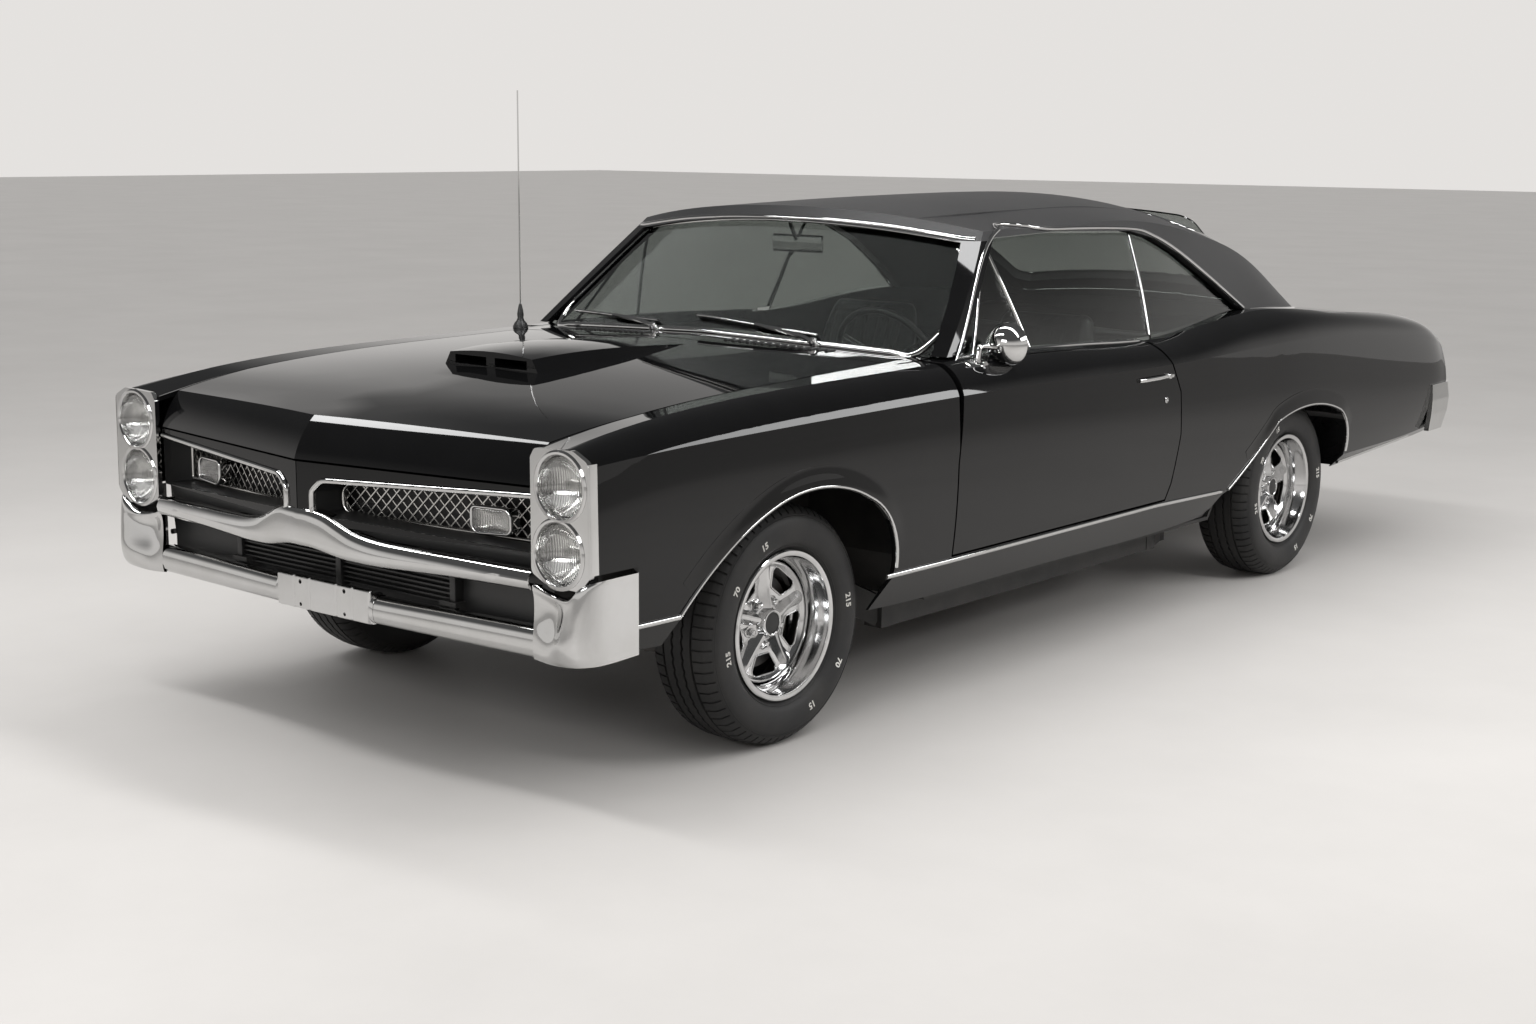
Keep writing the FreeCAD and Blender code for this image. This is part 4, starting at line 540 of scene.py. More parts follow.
def build_uneven_group():
    """A value that drifts softly round a mean, for gloss that is never quite even."""
    tree, start, end = add_group("uneven", {"Scale": 6.0, "Mean": 0.3, "Spread": 0.05}, "Value")
    _, noise = add_noise(tree, start, Detail=4.0)
    centred = add_node(tree, "Math", {0: (noise, "Fac"), 1: 0.5}, operation="SUBTRACT")
    spread = add_node(tree, "Math", {0: (centred, 0), 1: (start, "Spread")}, operation="MULTIPLY")
    total = add_node(tree, "Math", {0: (spread, 0), 1: (start, "Mean")}, operation="ADD")
    feed(end, {"Value": (total, 0)})


def build_grain_group():
    """The height of a pebbled vinyl grain, or of other fine texture."""
    tree, start, end = add_group("pebble_grain", {"Scale": 400.0}, "Height")
    where, noise = add_noise(tree, start, Detail=3.0)
    cells = add_node(tree, "TexVoronoi", where, feature="SMOOTH_F1")
    total = add_node(tree, "Math", {0: (cells, "Distance"), 1: (noise, "Fac")}, operation="ADD")
    feed(end, {"Height": (total, 0)})


def build_patina_group():
    """A colour that drifts between a clean and a worn shade in soft patches."""
    tree, start, end = add_group(
        "patina", {"Clean": (0.8, 0.8, 0.8, 1.0), "Worn": (0.6, 0.6, 0.6, 1.0), "Scale": 8.0}, "Color")
    _, noise = add_noise(tree, start, Detail=6.0, Roughness=0.65)
    ramp = add_node(tree, "ValToRGB", {"Fac": (noise, "Fac")})
    for element, position in zip(ramp.color_ramp.elements, (0.35, 0.7)):
        element.position = position
    mix = add_node(tree, "Mix", {}, data_type="RGBA")
    feed(mix, {0: (ramp, "Color"), 6: (start, "Clean"), 7: (start, "Worn")})
    feed(end, {"Color": (mix, 2)})


# ------------------------------------------------------------------ materials
def placed_group(tree, name, **values):
    node = tree.nodes.new("ShaderNodeGroup")
    node.node_tree = bpy.data.node_groups[name]
    return feed(node, values)


def new_material(name):
    """A material with its node tree and its main shader."""
    material = bpy.data.materials.new(name)
    material.use_nodes = True
    return material, material.node_tree, material.node_tree.nodes["Principled BSDF"]


def shade(tree, shader, clean, worn, scale):
    """Gives a shader a colour that drifts between a clean and a worn shade."""
    group = placed_group(tree, "patina", Clean=(*clean, 1.0), Worn=(*worn, 1.0), Scale=scale)
    feed(shader, {"Base Color": (group, "Color")})


def raise_bumps(tree, shader, height, strength, depth):
    """Bumps on a shader whose height comes from a (node, output) pair."""
    bump = add_node(tree, "Bump", {"Strength": strength, "Distance": depth, "Height": height})
    feed(shader, {"Normal": (bump, "Normal")})


def finish(name, colour, roughness, spread=0.04, scale=6.0, metallic=0.0, coat=0.0, specular=0.5, worn=None,
           worn_scale=8.0, grain=0.0, grain_scale=400.0, coat_ior=1.5):
    """A finish whose gloss and colour drift a little, with an optional clear coat and a fine grain."""
    material, tree, shader = new_material(name)
    material.diffuse_color = (*colour, 1.0)
    feed(shader, {"Metallic": metallic, "Specular IOR Level": specular, "Coat Weight": coat,
                  "Coat Roughness": 0.02, "Coat IOR": coat_ior})
    shade(tree, shader, colour, worn or [c * 0.8 for c in colour], worn_scale)
    uneven = placed_group(tree, "uneven", Scale=scale, Mean=roughness, Spread=spread)
    feed(shader, {"Roughness": (uneven, "Value")})
    if grain:
        pebbles = placed_group(tree, "pebble_grain", Scale=grain_scale)
        raise_bumps(tree, shader, (pebbles, "Height"), grain, 0.0006)
    return material


def clear(name, colour, ribs=0.0):
    """Glass, with optional moulded flutes."""
    material, tree, shader = new_material(name)
    feed(shader, {"Transmission Weight": 1.0, "Roughness": 0.0, "IOR": 1.45})
    shade(tree, shader, colour, [c * 0.97 for c in colour], 3.0)
    if ribs:
        place = add_node(tree, "TexCoord", {})
        wave = add_node(tree, "TexWave", {"Scale": 60.0, "Vector": (place, "Object")})
        raise_bumps(tree, shader, (wave, "Fac"), ribs, 0.001)
    return material


def build_materials(paint):
    """Every material, by the slot it fills."""
    build_uneven_group()
    build_grain_group()
    build_patina_group()
    enamel, vinyl = tuple(paint.enamel), tuple(paint.vinyl)
    return {
        "body_paint": finish("black enamel", enamel, 0.3, spread=0.02, coat=1.0, specular=0.0, coat_ior=1.38),
        "vinyl_top": finish("grained vinyl top", vinyl, 0.46, grain=0.45, grain_scale=420.0, specular=0.35,
                            worn=[c * 1.35 for c in vinyl], worn_scale=3.0),
        "chrome_trim": finish("chrome plate", (0.62, 0.62, 0.62), 0.06, spread=0.03, metallic=1.0,
                              worn=(0.56, 0.56, 0.55), worn_scale=5.0),
        "clear_glass": clear("tinted glass", (0.5, 0.53, 0.51)),
        "lamp_lens": clear("fluted clear lens", (0.96, 0.96, 0.95), ribs=0.5),
        "red_lens": finish("red lens", (0.3, 0.006, 0.005), 0.12, coat=1.0),
        "tyre_rubber": finish("tyre rubber", (0.016, 0.016, 0.0165), 0.55, spread=0.08, scale=14.0,
                              specular=0.3, worn=(0.026, 0.025, 0.024), grain=0.15, grain_scale=900.0),
        "white_rubber": finish("white rubber", (0.62, 0.61, 0.58), 0.5, worn=(0.45, 0.44, 0.41)),
        "styled_wheel": finish("plated wheel", (0.64, 0.64, 0.64), 0.12, spread=0.05, metallic=1.0),
        "black_trim": finish("satin black trim", (0.01, 0.01, 0.01), 0.42, spread=0.06),
        "bright_mesh": finish("bright mesh", (0.66, 0.65, 0.63), 0.25, metallic=1.0),
        "seat_vinyl": finish("seat vinyl", (0.012, 0.012, 0.012), 0.38, grain=0.5, grain_scale=520.0),
        "chassis_black": finish("chassis black", (0.012, 0.012, 0.012), 0.6, spread=0.1,
                                worn=(0.03, 0.028, 0.026)),
        "iron_parts": finish("iron parts", (0.05, 0.05, 0.052), 0.5, metallic=0.6, worn=(0.09, 0.08, 0.07)),
        "exhaust_steel": finish("exhaust steel", (0.42, 0.41, 0.39), 0.34, metallic=1.0,
                                worn=(0.3, 0.27, 0.24)),
    }


class HardtopPaint(bpy.types.PropertyGroup):
    """Colours of the body and the roof"""

    enamel: FloatVectorProperty(name="Enamel", description="Colour of the painted panels", subtype="COLOR",
                                default=(0.004, 0.004, 0.0042), min=0.0, max=1.0)
    vinyl: FloatVectorProperty(name="Vinyl top", description="Colour of the vinyl roof covering",
                               subtype="COLOR", default=(0.017, 0.017, 0.0175), min=0.0, max=1.0)


class HARDTOP_OT_finishes(bpy.types.Operator):
    """Gives every carried-over panel and part its finish and its smooth shading"""

    bl_idname = "hardtop.finishes"
    bl_label = "Finishes"

    def execute(self, context):
        made = build_materials(context.scene.hardtop_paint)
        for name, node in NODES.items():
            node.data.materials.clear()
            node.data.materials.append(made[SLOT_OF[name]])
        for name in SKIN_NODES:
            smooth_shading(NODES[name].data)
        return {"FINISHED"}


# ------------------------------------------------------------------ mouldings
class HardtopTrim(bpy.types.PropertyGroup):
    """Sizes of the bright mouldings"""

    lip_width: FloatProperty(name="Arch lip", description="Width of the bright lips round the wheel openings",
                             default=0.011, min=0.004, unit="LENGTH")
    rocker_width: FloatProperty(name="Lower moulding", description="Width of the strip over the rockers",
                                default=0.015, min=0.004, unit="LENGTH")
    drip_width: FloatProperty(name="Drip rail", description="Width of the bright rail over the side windows",
                              default=0.013, min=0.004, unit="LENGTH")
    reveal_width: FloatProperty(name="Reveal", description="Width of the strips round the fixed glass",
                                default=0.018, min=0.004, unit="LENGTH")


def laid(line, surface, step):
    """Points with their outward directions on the car's left side, at even steps along a (y, z) line."""
    return zip(*[surface.side(p.y, p.z) for p in resampled([(0, y, z) for y, z in line], step)])


def side_strip(line, surface, width, height, step=0.025):
    """A domed strip laid on the car's left side along a (y, z) line."""
    return sweep(*laid(line, surface, step), half_round(width, height))


def grown(line, distance):
    """A side-view line moved sideways by a distance."""
    moved = []
    for (y, z), ((y0, z0), (y1, z1)) in zip(line, steps_along(line)):
        length = math.hypot(y1 - y0, z1 - z0) or 1.0
        moved.append((y - (z1 - z0) / length * distance, z + (y1 - y0) / length * distance))
    return moved


LOWER_LINES = {
    "rocker_moulding": [(-1308, 414), (-1052, 412), (184, 414), (636, 402)],
    "nose_moulding": [(-2325, 450), (-2147, 448)],
}
DOOR_BELT = [(-840, 966), (-466, 964), (-75, 957), (180, 948)]
FLARE_FOOT_Z = 0.47


class HARDTOP_OT_side_mouldings(bpy.types.Operator):
    """Adds the bright lips, the lower mouldings and the belt strips along the sides"""

    bl_idname = "hardtop.side_mouldings"
    bl_label = "Side mouldings"

    def execute(self, context):
        trim = context.scene.hardtop_trim
        lip = trim.lip_width
        for end, (axle_y, lip_foot_z, points) in ARCHES.items():
            line = [p for p in arch_line(axle_y, points) if p[1] > lip_foot_z]
            add_pair(f"arch_lip_{end}", side_strip(grown(line, lip * 0.45), SURFACE, lip, 0.006), CHROME)
            add_pair(f"arch_flare_{end}", self.flare([p for p in line if p[1] > FLARE_FOOT_Z]), PAINT)
        for name, line in LOWER_LINES.items():
            add_pair(name, side_strip(drawn(line), SURFACE, trim.rocker_width, 0.006), CHROME)
        add_pair("door_belt_strip", self.belt(), CHROME, DOORS)
        return {"FINISHED"}

    def flare(self, line):
        """The painted swelling round a wheel opening, fading into the panel and towards its own ends."""
        width, height, fade, step = 0.062, 0.0055, 0.16, 0.02
        path, outs = laid(line, SURFACE, step)
        shape = [(width * i / 10, height * (0.5 + 0.5 * math.cos(math.pi * i / 10))) for i in range(11)]
        reach = [min(1.0, step * min(i, len(path) - 1 - i) / fade) for i in range(len(path))]
        return sweep(path, outs, [*shape, (width, -0.001), (0.0, -0.001)],
                     swell=[r * r * (3 - 2 * r) for r in reach])

    def belt(self):
        """A strip that lies on the inner edge of the door's top, beside the glass."""
        path = []
        for flat in resampled([(0, y, z) for y, z in drawn(DOOR_BELT)], 0.04):
            glass, _ = SIDE_GLASS.side(flat.y, flat.z + 0.012)
            path.append(SURFACE.top(glass.x + 0.01, flat.y)[0])
        return sweep(path, Vector((0.35, 0, 0.94)).normalized(), half_round(0.016, 0.007))


# Upper edge of the side windows, the stretch where the vinyl ends on the quarter panel, half the length of
# the windshield's foot, and the front edge of the roof covering from the middle out: x and height.
DRIP_LINE = [(-862, 962), (-490, 1300), (-140, 1309), (313, 1297), (470, 1268), (629, 1208), (829, 1104),
             (1000, 1000)]
VINYL_BASE_Y = (0.985, 1.66)
SCREEN_FOOT_HALF = 0.79
HEADER_EDGE = [(0, 1347), (200, 1343), (400, 1330), (550, 1313), (650, 1300), (684, 1298)]


class HARDTOP_OT_glass_mouldings(bpy.types.Operator):
    """Adds the drip rails and the bright reveals round the windows"""

    bl_idname = "hardtop.glass_mouldings"
    bl_label = "Glass mouldings"

    def execute(self, context):
        trim = context.scene.hardtop_trim
        rail = grown(smooth_table(drawn(DRIP_LINE), 8), 0.007)
        add_pair("drip_rail", side_strip(rail, CAB, trim.drip_width, 0.007), CHROME)
        add_piece("header_moulding", self.header(), CHROME)
        add_piece("windshield_reveal", self.windshield(trim.reveal_width), CHROME)
        add_piece("backlight_reveal", self.backlight(trim.reveal_width), CHROME)
        add_pair("vinyl_moulding", self.vinyl_base(), CHROME)
        return {"FINISHED"}

    def header(self):
        """The bright strip along the vinyl's front edge, over the windshield."""
        edge = smooth_through([mm(x, 0, z) for x, z in HEADER_EDGE], 8)
        path = [NODES["roof"].ray_cast(Vector((p.x, -3.0, p.z)), Y)[1]
                for p in [*map(flipped, edge[:0:-1]), *edge]]
        outs = [Vector((p.x * 0.25, -0.68, 0.73)).normalized() for p in path]
        return sweep(path, outs, half_round(0.016, 0.006))

    def windshield(self, width):
        """A closed strip round the windshield: up the pillars, along the header and across the cowl."""
        thickness, back, lift = 0.04, 0.018, 0.006
        edge = []
        for strip in cab_strips(thickness):
            for lane in zip(*strip):
                def place(y, lane=lane):
                    for a, b in zip(lane, lane[1:]):
                        if a.y <= y <= b.y:
                            return a.lerp(b, (y - a.y) / (b.y - a.y))
                    return lane[-1]

                y = crossing(lambda v: v - screen_y(place(v).x, place(v).z, back), -1.15, -0.3)
                edge.append(place(y))
        foot = []
        for x in (SCREEN_FOOT_HALF * i / 12 for i in range(13)):
            y = crossing(lambda v: v - screen_y(x, SURFACE.top(x, v)[0].z + lift, back), -1.2, -0.7)
            foot.append(Vector((x, y, SURFACE.top(x, y)[0].z + lift)))
        edge = [p for p in edge if p.z > foot[-1].z + 0.03]
        corner = smooth_through([*foot[-3:-1], *edge[:2]], 6)
        left = [*foot[:-3], *corner, *edge[2:]]
        loop = [*left, *map(flipped, left[-2:0:-1]), left[0]]
        loop = resampled(loop, 0.03)[:-1]
        outs = [Vector((p.x * 0.25, -1.0, 0.9)).normalized() for p in loop]
        return sweep(loop, outs, half_round(width, 0.006), closed=True)

    def backlight(self, width):
        """A closed strip on the roof round the backlight."""
        top, foot = mm(545, 1040, 1352), mm(560, 1600, 1004)
        slope = Vector((0, foot.y - top.y, foot.z - top.z))
        down, span, radius = slope.normalized(), slope.length, 0.06
        normal = Vector((0, -down.z, down.y))
        flat = []
        for cx, cs, start in ((top.x - radius, radius, 270), (foot.x - radius, span - radius, 0),
                              (-foot.x + radius, span - radius, 90), (-top.x + radius, radius, 180)):
            for angle in (math.radians(start + 90 * i / 8) for i in range(9)):
                flat.append(Vector((cx + radius * math.cos(angle), cs + radius * math.sin(angle), 0)))
        path, outs = zip(*[CAB.seen(Vector((p.x, top.y, top.z)) + down * p.y + normal * 0.3, -normal)
                           for p in resampled([*flat, flat[0]], 0.03)[:-1]])
        return sweep(path, outs, half_round(width, 0.006), closed=True)

    def vinyl_base(self):
        """The strip where the vinyl meets the quarter panel, from the quarter window to the sail's tip."""
        path = []
        for row in cab_strips()[0]:
            if not VINYL_BASE_Y[0] < row[0].y < VINYL_BASE_Y[1]:
                continue

            def place(t, row=row):
                k = min(int(t), len(row) - 2)
                return row[k].lerp(row[k + 1], t - k)

            def above(t):
                p = place(t)
                return p.z - SURFACE.top(p.x, p.y)[0].z

            path.append(place(crossing(above, 0.5, len(row) - 1.0)))
        path = resampled(smooth_through(path, 3), 0.03)
        return sweep(path, Vector((0.8, 0, 0.6)).normalized(), half_round(0.014, 0.007))


# Bright bars of the side windows: side-view line and width.
WINDOW_BARS = {
    "vent_frame": ([(-756, 972), (-640, 1138), (-536, 1288)], 0.014),
    "vent_post": ([(-452, 968), (-494, 1130), (-530, 1284)], 0.013),
    "door_glass_bar": ([(266, 962), (298, 1110), (332, 1284)], 0.016),
}


class HARDTOP_OT_window_frames(bpy.types.Operator):
    """Adds the bright vent-window frames and the rear bars of the door glass"""

    bl_idname = "hardtop.window_frames"
    bl_label = "Window frames"

    def execute(self, context):
        for name, (line, width) in WINDOW_BARS.items():
            add_pair(name, side_strip(drawn(line), SIDE_GLASS, width, 0.007, step=0.03), CHROME, DOORS)
        return {"FINISHED"}


# ------------------------------------------------------------------ front end
NOSE_Y, NOSE_SWEEP = -2563.0, math.radians(9.0)
GRILLE_DEPTH = 72.0
PLATE_Y = -2500.0
BUMPER_FRONT_Y = -2585.7
SHEET = 4                  # thickness of the bumper's steel
BEZEL_FRONT_Y = -2476.0
LAMPS = ((845, 801), (837, 642))
NOSE_OUT = Vector((0.15, -1, 0))

# Bumper bars from the middle out: x, how far the ridge is behind the foremost point, top z, bottom z.
UPPER_BAR = [(0, 0, 667, 567), (50, 3, 666, 565), (95, 9, 657, 557), (140, 16, 638, 549), (190, 24, 619, 544),
             (260, 34, 607, 541), (360, 48, 602, 542), (500, 66, 599, 544), (640, 84, 595, 543),
             (744, 99, 592, 541)]
LOWER_BAR = [(180, 82, 455, 377), (196, 84, 450, 377), (220, 86, 448, 377), (480, 99, 450, 376),
             (752, 112, 452, 376)]
# The corner at six places from its inner end to the side: x, top z and bottom z; then at each height
# share, how far each place is behind the bumper's foremost point.
CORNER_PLACES = ((746, 560, 376), (806, 541, 373), (866, 541, 378), (914, 574, 384), (944.5, 588, 388),
                 (947.5, 590, 392))
CORNER_LEVELS = [(0.0, 116, 112, 104, 108, 150, 262), (0.1, 112, 106, 92, 96, 142, 262),
                 (0.3, 113, 108, 86, 90, 138, 262), (0.55, 118, 120, 94, 92, 138, 262),
                 (0.8, 118, 126, 102, 96, 140, 262), (0.95, 112, 118, 104, 100, 142, 262),
                 (1.0, 118, 126, 112, 106, 146, 262)]


def on_nose(x, ahead, z):
    """A point on the left half of the swept nose: distance along it, distance behind its face, height."""
    cos, sin = math.cos(NOSE_SWEEP), math.sin(NOSE_SWEEP)
    return mm(x * cos - ahead * sin, NOSE_Y + x * sin + ahead * cos, z)


def nose_line(outline, ahead):
    """An outline drawn on the nose's face, moved back by a distance."""
    return [on_nose(p.x, ahead, p.y) for p in outline]


class HARDTOP_OT_front_bumper(bpy.types.Operator):
    """Builds the chrome front bumper: two bars, wrapped corners and the plate bracket"""

    bl_idname = "hardtop.front_bumper"
    bl_label = "Front bumper"

    def execute(self, context):
        upper = smooth_table(UPPER_BAR, 5)
        upper = [[-row[0], *row[1:]] for row in upper[:0:-1]] + upper
        low, corner = self.bar(smooth_table(LOWER_BAR, 6), 44, 2), self.corner()
        parts = [self.bar(upper, 50, 4), low, mirrored_mesh(low), corner, mirrored_mesh(corner),
                 self.bracket()]
        bumper = add_piece("front_bumper_chrome", joined(parts), CHROME, sharp=50, replaces=("front_bumper",))
        bumper.modifiers.new("soft edges", "WEIGHTED_NORMAL").keep_sharp = True
        return {"FINISHED"}

    def bar(self, table, depth, ledge):
        """A bar with folded flanges, a rounded brow and a face that leans back to its lower fold."""
        rows = []
        for x, behind, top, bottom in table:
            y = BUMPER_FRONT_Y + behind
            front = [
                (y + depth, bottom + 5), (y + 20, bottom), (y + 10, bottom + 3), (y + 3, bottom + 12),
                (y, bottom + 26), (y, (top + bottom) / 2), (y + 2, top - 20), (y + 7, top - 9),
                (y + 15, top - 2), (y + 24, top), (y + depth, top - ledge),
            ]
            back = [(py + (SHEET if 0 < i < 10 else 0), pz + (SHEET if i < 5 else -SHEET))
                    for i, (py, pz) in enumerate(front)]
            rows.append([mm(x, py, pz) for py, pz in [*front, *reversed(back)]])
        return rows_mesh(rows)

    def corner(self):
        """The wrapped corner: hollowed under the lamps, with a blunt ridge down to its lower corner."""
        rows = []
        for share, *ys in smooth_table(CORNER_LEVELS, 4):
            line = [mm(x, BUMPER_FRONT_Y + y, low + (high - low) * share)
                    for (x, high, low), y in zip(CORNER_PLACES, ys)]
            rows.append(smooth_through(line, 6))
        inner = [[p + Vector((-0.004, 0.006, 0.0)) for p in row] for row in reversed(rows)]
        return rows_mesh([*inner, *rows], loop=True, tube=False)

    def bracket(self):
        """The plate bracket: pressed ribs, two bolt holes above and two slots below."""
        xs = [-186, -182, -124, -118, -112, -60, -54, -48, 48, 54, 60, 112, 118, 124, 182, 186]
        ribs, lips = {-118: 4, -54: 4, 54: 4, 118: 4}, {-186: 6, 186: 6}
        rows = []
        for z, lean, ribbed in ((375, 8, 0), (379, 0, 1), (458, 0, 1), (463, 5, 0)):
            front = [mm(x, PLATE_Y - 4 + lean + ribs.get(x, 0) * ribbed + lips.get(x, 0), z) for x in xs]
            rows.append([*front, *[p + Y * 0.01 for p in reversed(front)]])
        holes = [lathe([(0, -0.03), (r, -0.03), (r, 0.05), (0, 0.05)], mm(x, PLATE_Y, z), Y, 20)
                 for x, z, r in ((-89, 449, 0.006), (89, 449, 0.006), (-89, 389, 0.005), (89, 389, 0.005))]
        return carved(rows_mesh(rows), holes)


# Grille opening, mesh rim and parking lamp in the nose's own plane, in millimetres.
OPENING = ([(50, 652), (752, 628), (752, 766), (84, 742), (50, 712)], [12, 3, 3, 40, 14])
MESH_RIM = ([(84, 648), (732, 638), (732, 760), (84, 724)], [34, 8, 8, 34])
PARKING_X, PARKING_Z, PARKING_WIDTH, PARKING_HEIGHT = 578, 680, 116, 62


class HARDTOP_OT_nose(bpy.types.Operator):
    """Adds the bright grille surrounds, the recess behind them, the parking lamps and the radiator"""

    bl_idname = "hardtop.nose"
    bl_label = "Nose"

    def execute(self, context):
        rim = nose_line(rounded_outline(*MESH_RIM), GRILLE_DEPTH - 4)
        add_pair("grille_brow", self.brow(), CHROME)
        add_pair("grille_recess", self.recess(), BLACK)
        add_pair("mesh_rim", sweep(rim, NOSE_OUT, half_round(0.009, 0.006), closed=True), BRIGHT_MESH)
        add_pair("parking_rim", self.lamp_ring(), CHROME)
        add_pair("parking_lens", self.lamp_lens(), CLEAR_LENS, replaces=(("parking_lamps",), ()))
        add_pair("parking_reflector", self.lamp_bowl(), CHROME)
        add_piece("radiator_core", self.radiator(), BLACK)
        return {"FINISHED"}

    def brow(self):
        """The strip up the inner end of the opening and along its top."""
        line = rounded_outline(*OPENING)
        path = resampled(nose_line([Vector((748, 765)), *line[21:], *line[:5]], -10), 0.012)
        return sweep(path, NOSE_OUT, half_round(0.016, 0.009, foot=0.004))

    def recess(self):
        """Black walls that run back from the opening to the mesh."""
        line = rounded_outline(*OPENING)
        front = nose_line(line, -9)
        middle = [on_nose(40 + (p.x - 40) * 0.99 + 10, 20, 693 + (p.y - 693) * 0.98) for p in line]
        rear = [on_nose(78 + (p.x - 50) * 0.93, GRILLE_DEPTH + 12, 697 + (p.y - 697) * 0.93) for p in line]
        return rows_mesh([front, middle, rear], caps=False)

    def lamp_outline(self, grow, share=1.0):
        """The parking lamp's outline, grown by a distance and then drawn in to a share of its size."""
        x, z = PARKING_X, PARKING_Z
        w, h = PARKING_WIDTH / 2 + grow, PARKING_HEIGHT / 2 + grow
        corners = [(x - w, z - h), (x + w, z - h + 6), (x + w, z + h), (x - w, z + h)]
        return [Vector((x, z)).lerp(p, share) for p in rounded_outline(corners, [22 + grow, 12 + grow] * 2)]

    def lamp_ring(self):
        ring = sweep(nose_line(self.lamp_outline(2), GRILLE_DEPTH - 30), NOSE_OUT, half_round(0.009, 0.006),
                     closed=True)
        sleeve = [nose_line(self.lamp_outline(4), GRILLE_DEPTH + ahead) for ahead in (-28, 2)]
        return joined([ring, rows_mesh(sleeve, caps=False)])

    def lamp_lens(self):
        rows = [nose_line(self.lamp_outline(-1, share), GRILLE_DEPTH - 29 + ahead) for share, ahead in
                ((1.0, 0), (0.97, -3), (0.8, -5), (0.5, -7), (0.2, -8), (0.04, -8))]
        return rows_mesh([*rows, *[[p + Y * 0.003 for p in row] for row in reversed(rows)]])

    def lamp_bowl(self):
        return rows_mesh([nose_line(self.lamp_outline(-2, share), GRILLE_DEPTH + ahead) for share, ahead in
                          ((1.0, -24), (0.9, -6), (0.6, 0), (0.1, 2))], caps=False)

    def radiator(self):
        """Fine black slats behind the slot between the bumper's bars."""
        slats = [block((-0.42, -2.47, z), (0.42, -2.452, z + 0.004))
                 for z in (0.452 + i * 0.0125 for i in range(9))]
        slats.append(block((-0.76, -2.452, 0.4), (0.76, -2.446, 0.6)))
        for x in (-0.44, 0.42, -0.02):
            slats.append(block((x, -2.48, 0.44), (x + 0.02, -2.45, 0.58), bevel=0.002))
        return joined(slats)


# Profiles of a sealed-beam lamp as (radius, offset) behind the bezel's front.
LENS_FACE = [(0.0, -0.007), (0.02, -0.0065), (0.04, -0.0045), (0.056, -0.0015), (0.066, 0.003),
             (0.071, 0.008)]
LENS = [*LENS_FACE, (0.0718, 0.012), *[(r, o + 0.0035) for r, o in reversed(LENS_FACE)]]
BOWL = [(0.0705, 0.012), (0.067, 0.018), (0.058, 0.032), (0.045, 0.044), (0.028, 0.054), (0.012, 0.059),
        (0.0, 0.06)]
BULB = [(0.0, 0.018), (0.008, 0.019), (0.01, 0.024), (0.01, 0.04), (0.014, 0.058)]
LAMP_RING = [(0.0725, 0.012), (0.0735, 0.0), (0.0765, -0.004), (0.082, -0.0045), (0.0865, -0.001),
             (0.087, 0.004)]


class HARDTOP_OT_headlamps(bpy.types.Operator):
    """Builds the stacked sealed-beam lamps: lens, reflector, bulb shield, bright ring and side wall"""

    bl_idname = "hardtop.headlamps"
    bl_label = "Headlamps"

    def execute(self, context):
        lenses, bowls, rings = [], [], []
        for place in (mm(x, BEZEL_FRONT_Y, z) for x, z in LAMPS):
            lenses.append(lathe(LENS, place, Y, 64))
            bowls += [lathe(BOWL, place, Y, 64), lathe(BULB, place, Y, 24)]
            rings.append(lathe(LAMP_RING, place, Y, 64))
        add_pair("headlamp_lens", joined(lenses), CLEAR_LENS, replaces=(("headlamps",), ()))
        add_pair("headlamp_reflector", joined(bowls), CHROME)
        add_pair("headlamp_ring", joined([*rings, self.flange()]), CHROME)
        return {"FINISHED"}

    def flange(self):
        """The bezel's side wall, returned along the fender."""
        section = ((-3, -1), (1.5, 3), (2.5, 12), (2.5, 26), (-4, 26), (-4, 4))
        return rows_mesh([[mm(941 - (z - 600) * 4 / 264 + dx, BEZEL_FRONT_Y + dy, z) for dx, dy in section]
                          for z in (604, 640, 700, 780, 840, 862)])


# ------------------------------------------------------------------ wheels
WHEEL_Z, TRACK_X = 325.0, 748.0          # wheel centre over the ground and from the car's centre line
WHEELS = {"fl": (1.0, FRONT_AXLE_Y), "fr": (-1.0, FRONT_AXLE_Y), "rl": (1.0, REAR_AXLE_Y),
          "rr": (-1.0, REAR_AXLE_Y)}
SPOKES = 5
# Side wall of the tyre from the bead to the tread's edge: radius, then distance from the wheel's middle.
SIDE_WALL = [
    (0.189, 0.07), (0.1925, 0.0835), (0.2035, 0.085), (0.211, 0.094), (0.222, 0.103), (0.24, 0.109),
    (0.258, 0.1112), (0.275, 0.1098), (0.2885, 0.106), (0.3005, 0.0995), (0.308, 0.093), (0.3135, 0.086),
]
RAISED_RINGS = ((0.215, 0.0012), (0.293, 0.0008), (0.2975, 0.0008))     # radius and height
TREAD_R, TREAD_HALF = 0.325, 0.079
TREAD_CROWN = 0.0062       # how much lower the tread's edge is than its middle
GROOVES = (0.047, 0.0165, -0.0165, -0.047)
GROOVE_WIDTH, GROOVE_DEPTH, GROOVE_DRAFT = 0.0075, 0.0065, 0.0008
PITCHES = 66               # tread blocks round the tyre
SLOT_DEPTH, SLOT_FOOT_R = 0.0045, 0.304
ZIGZAG = 0.0028            # how far the middle grooves stray to each side
# Angles within one tread block, as shares of it, and whether the shoulder's slot is cut there.
PITCH_STEPS = ((0.0, 0.0), (0.03, 1.0), (0.17, 1.0), (0.2, 0.0), (0.6, 0.0))
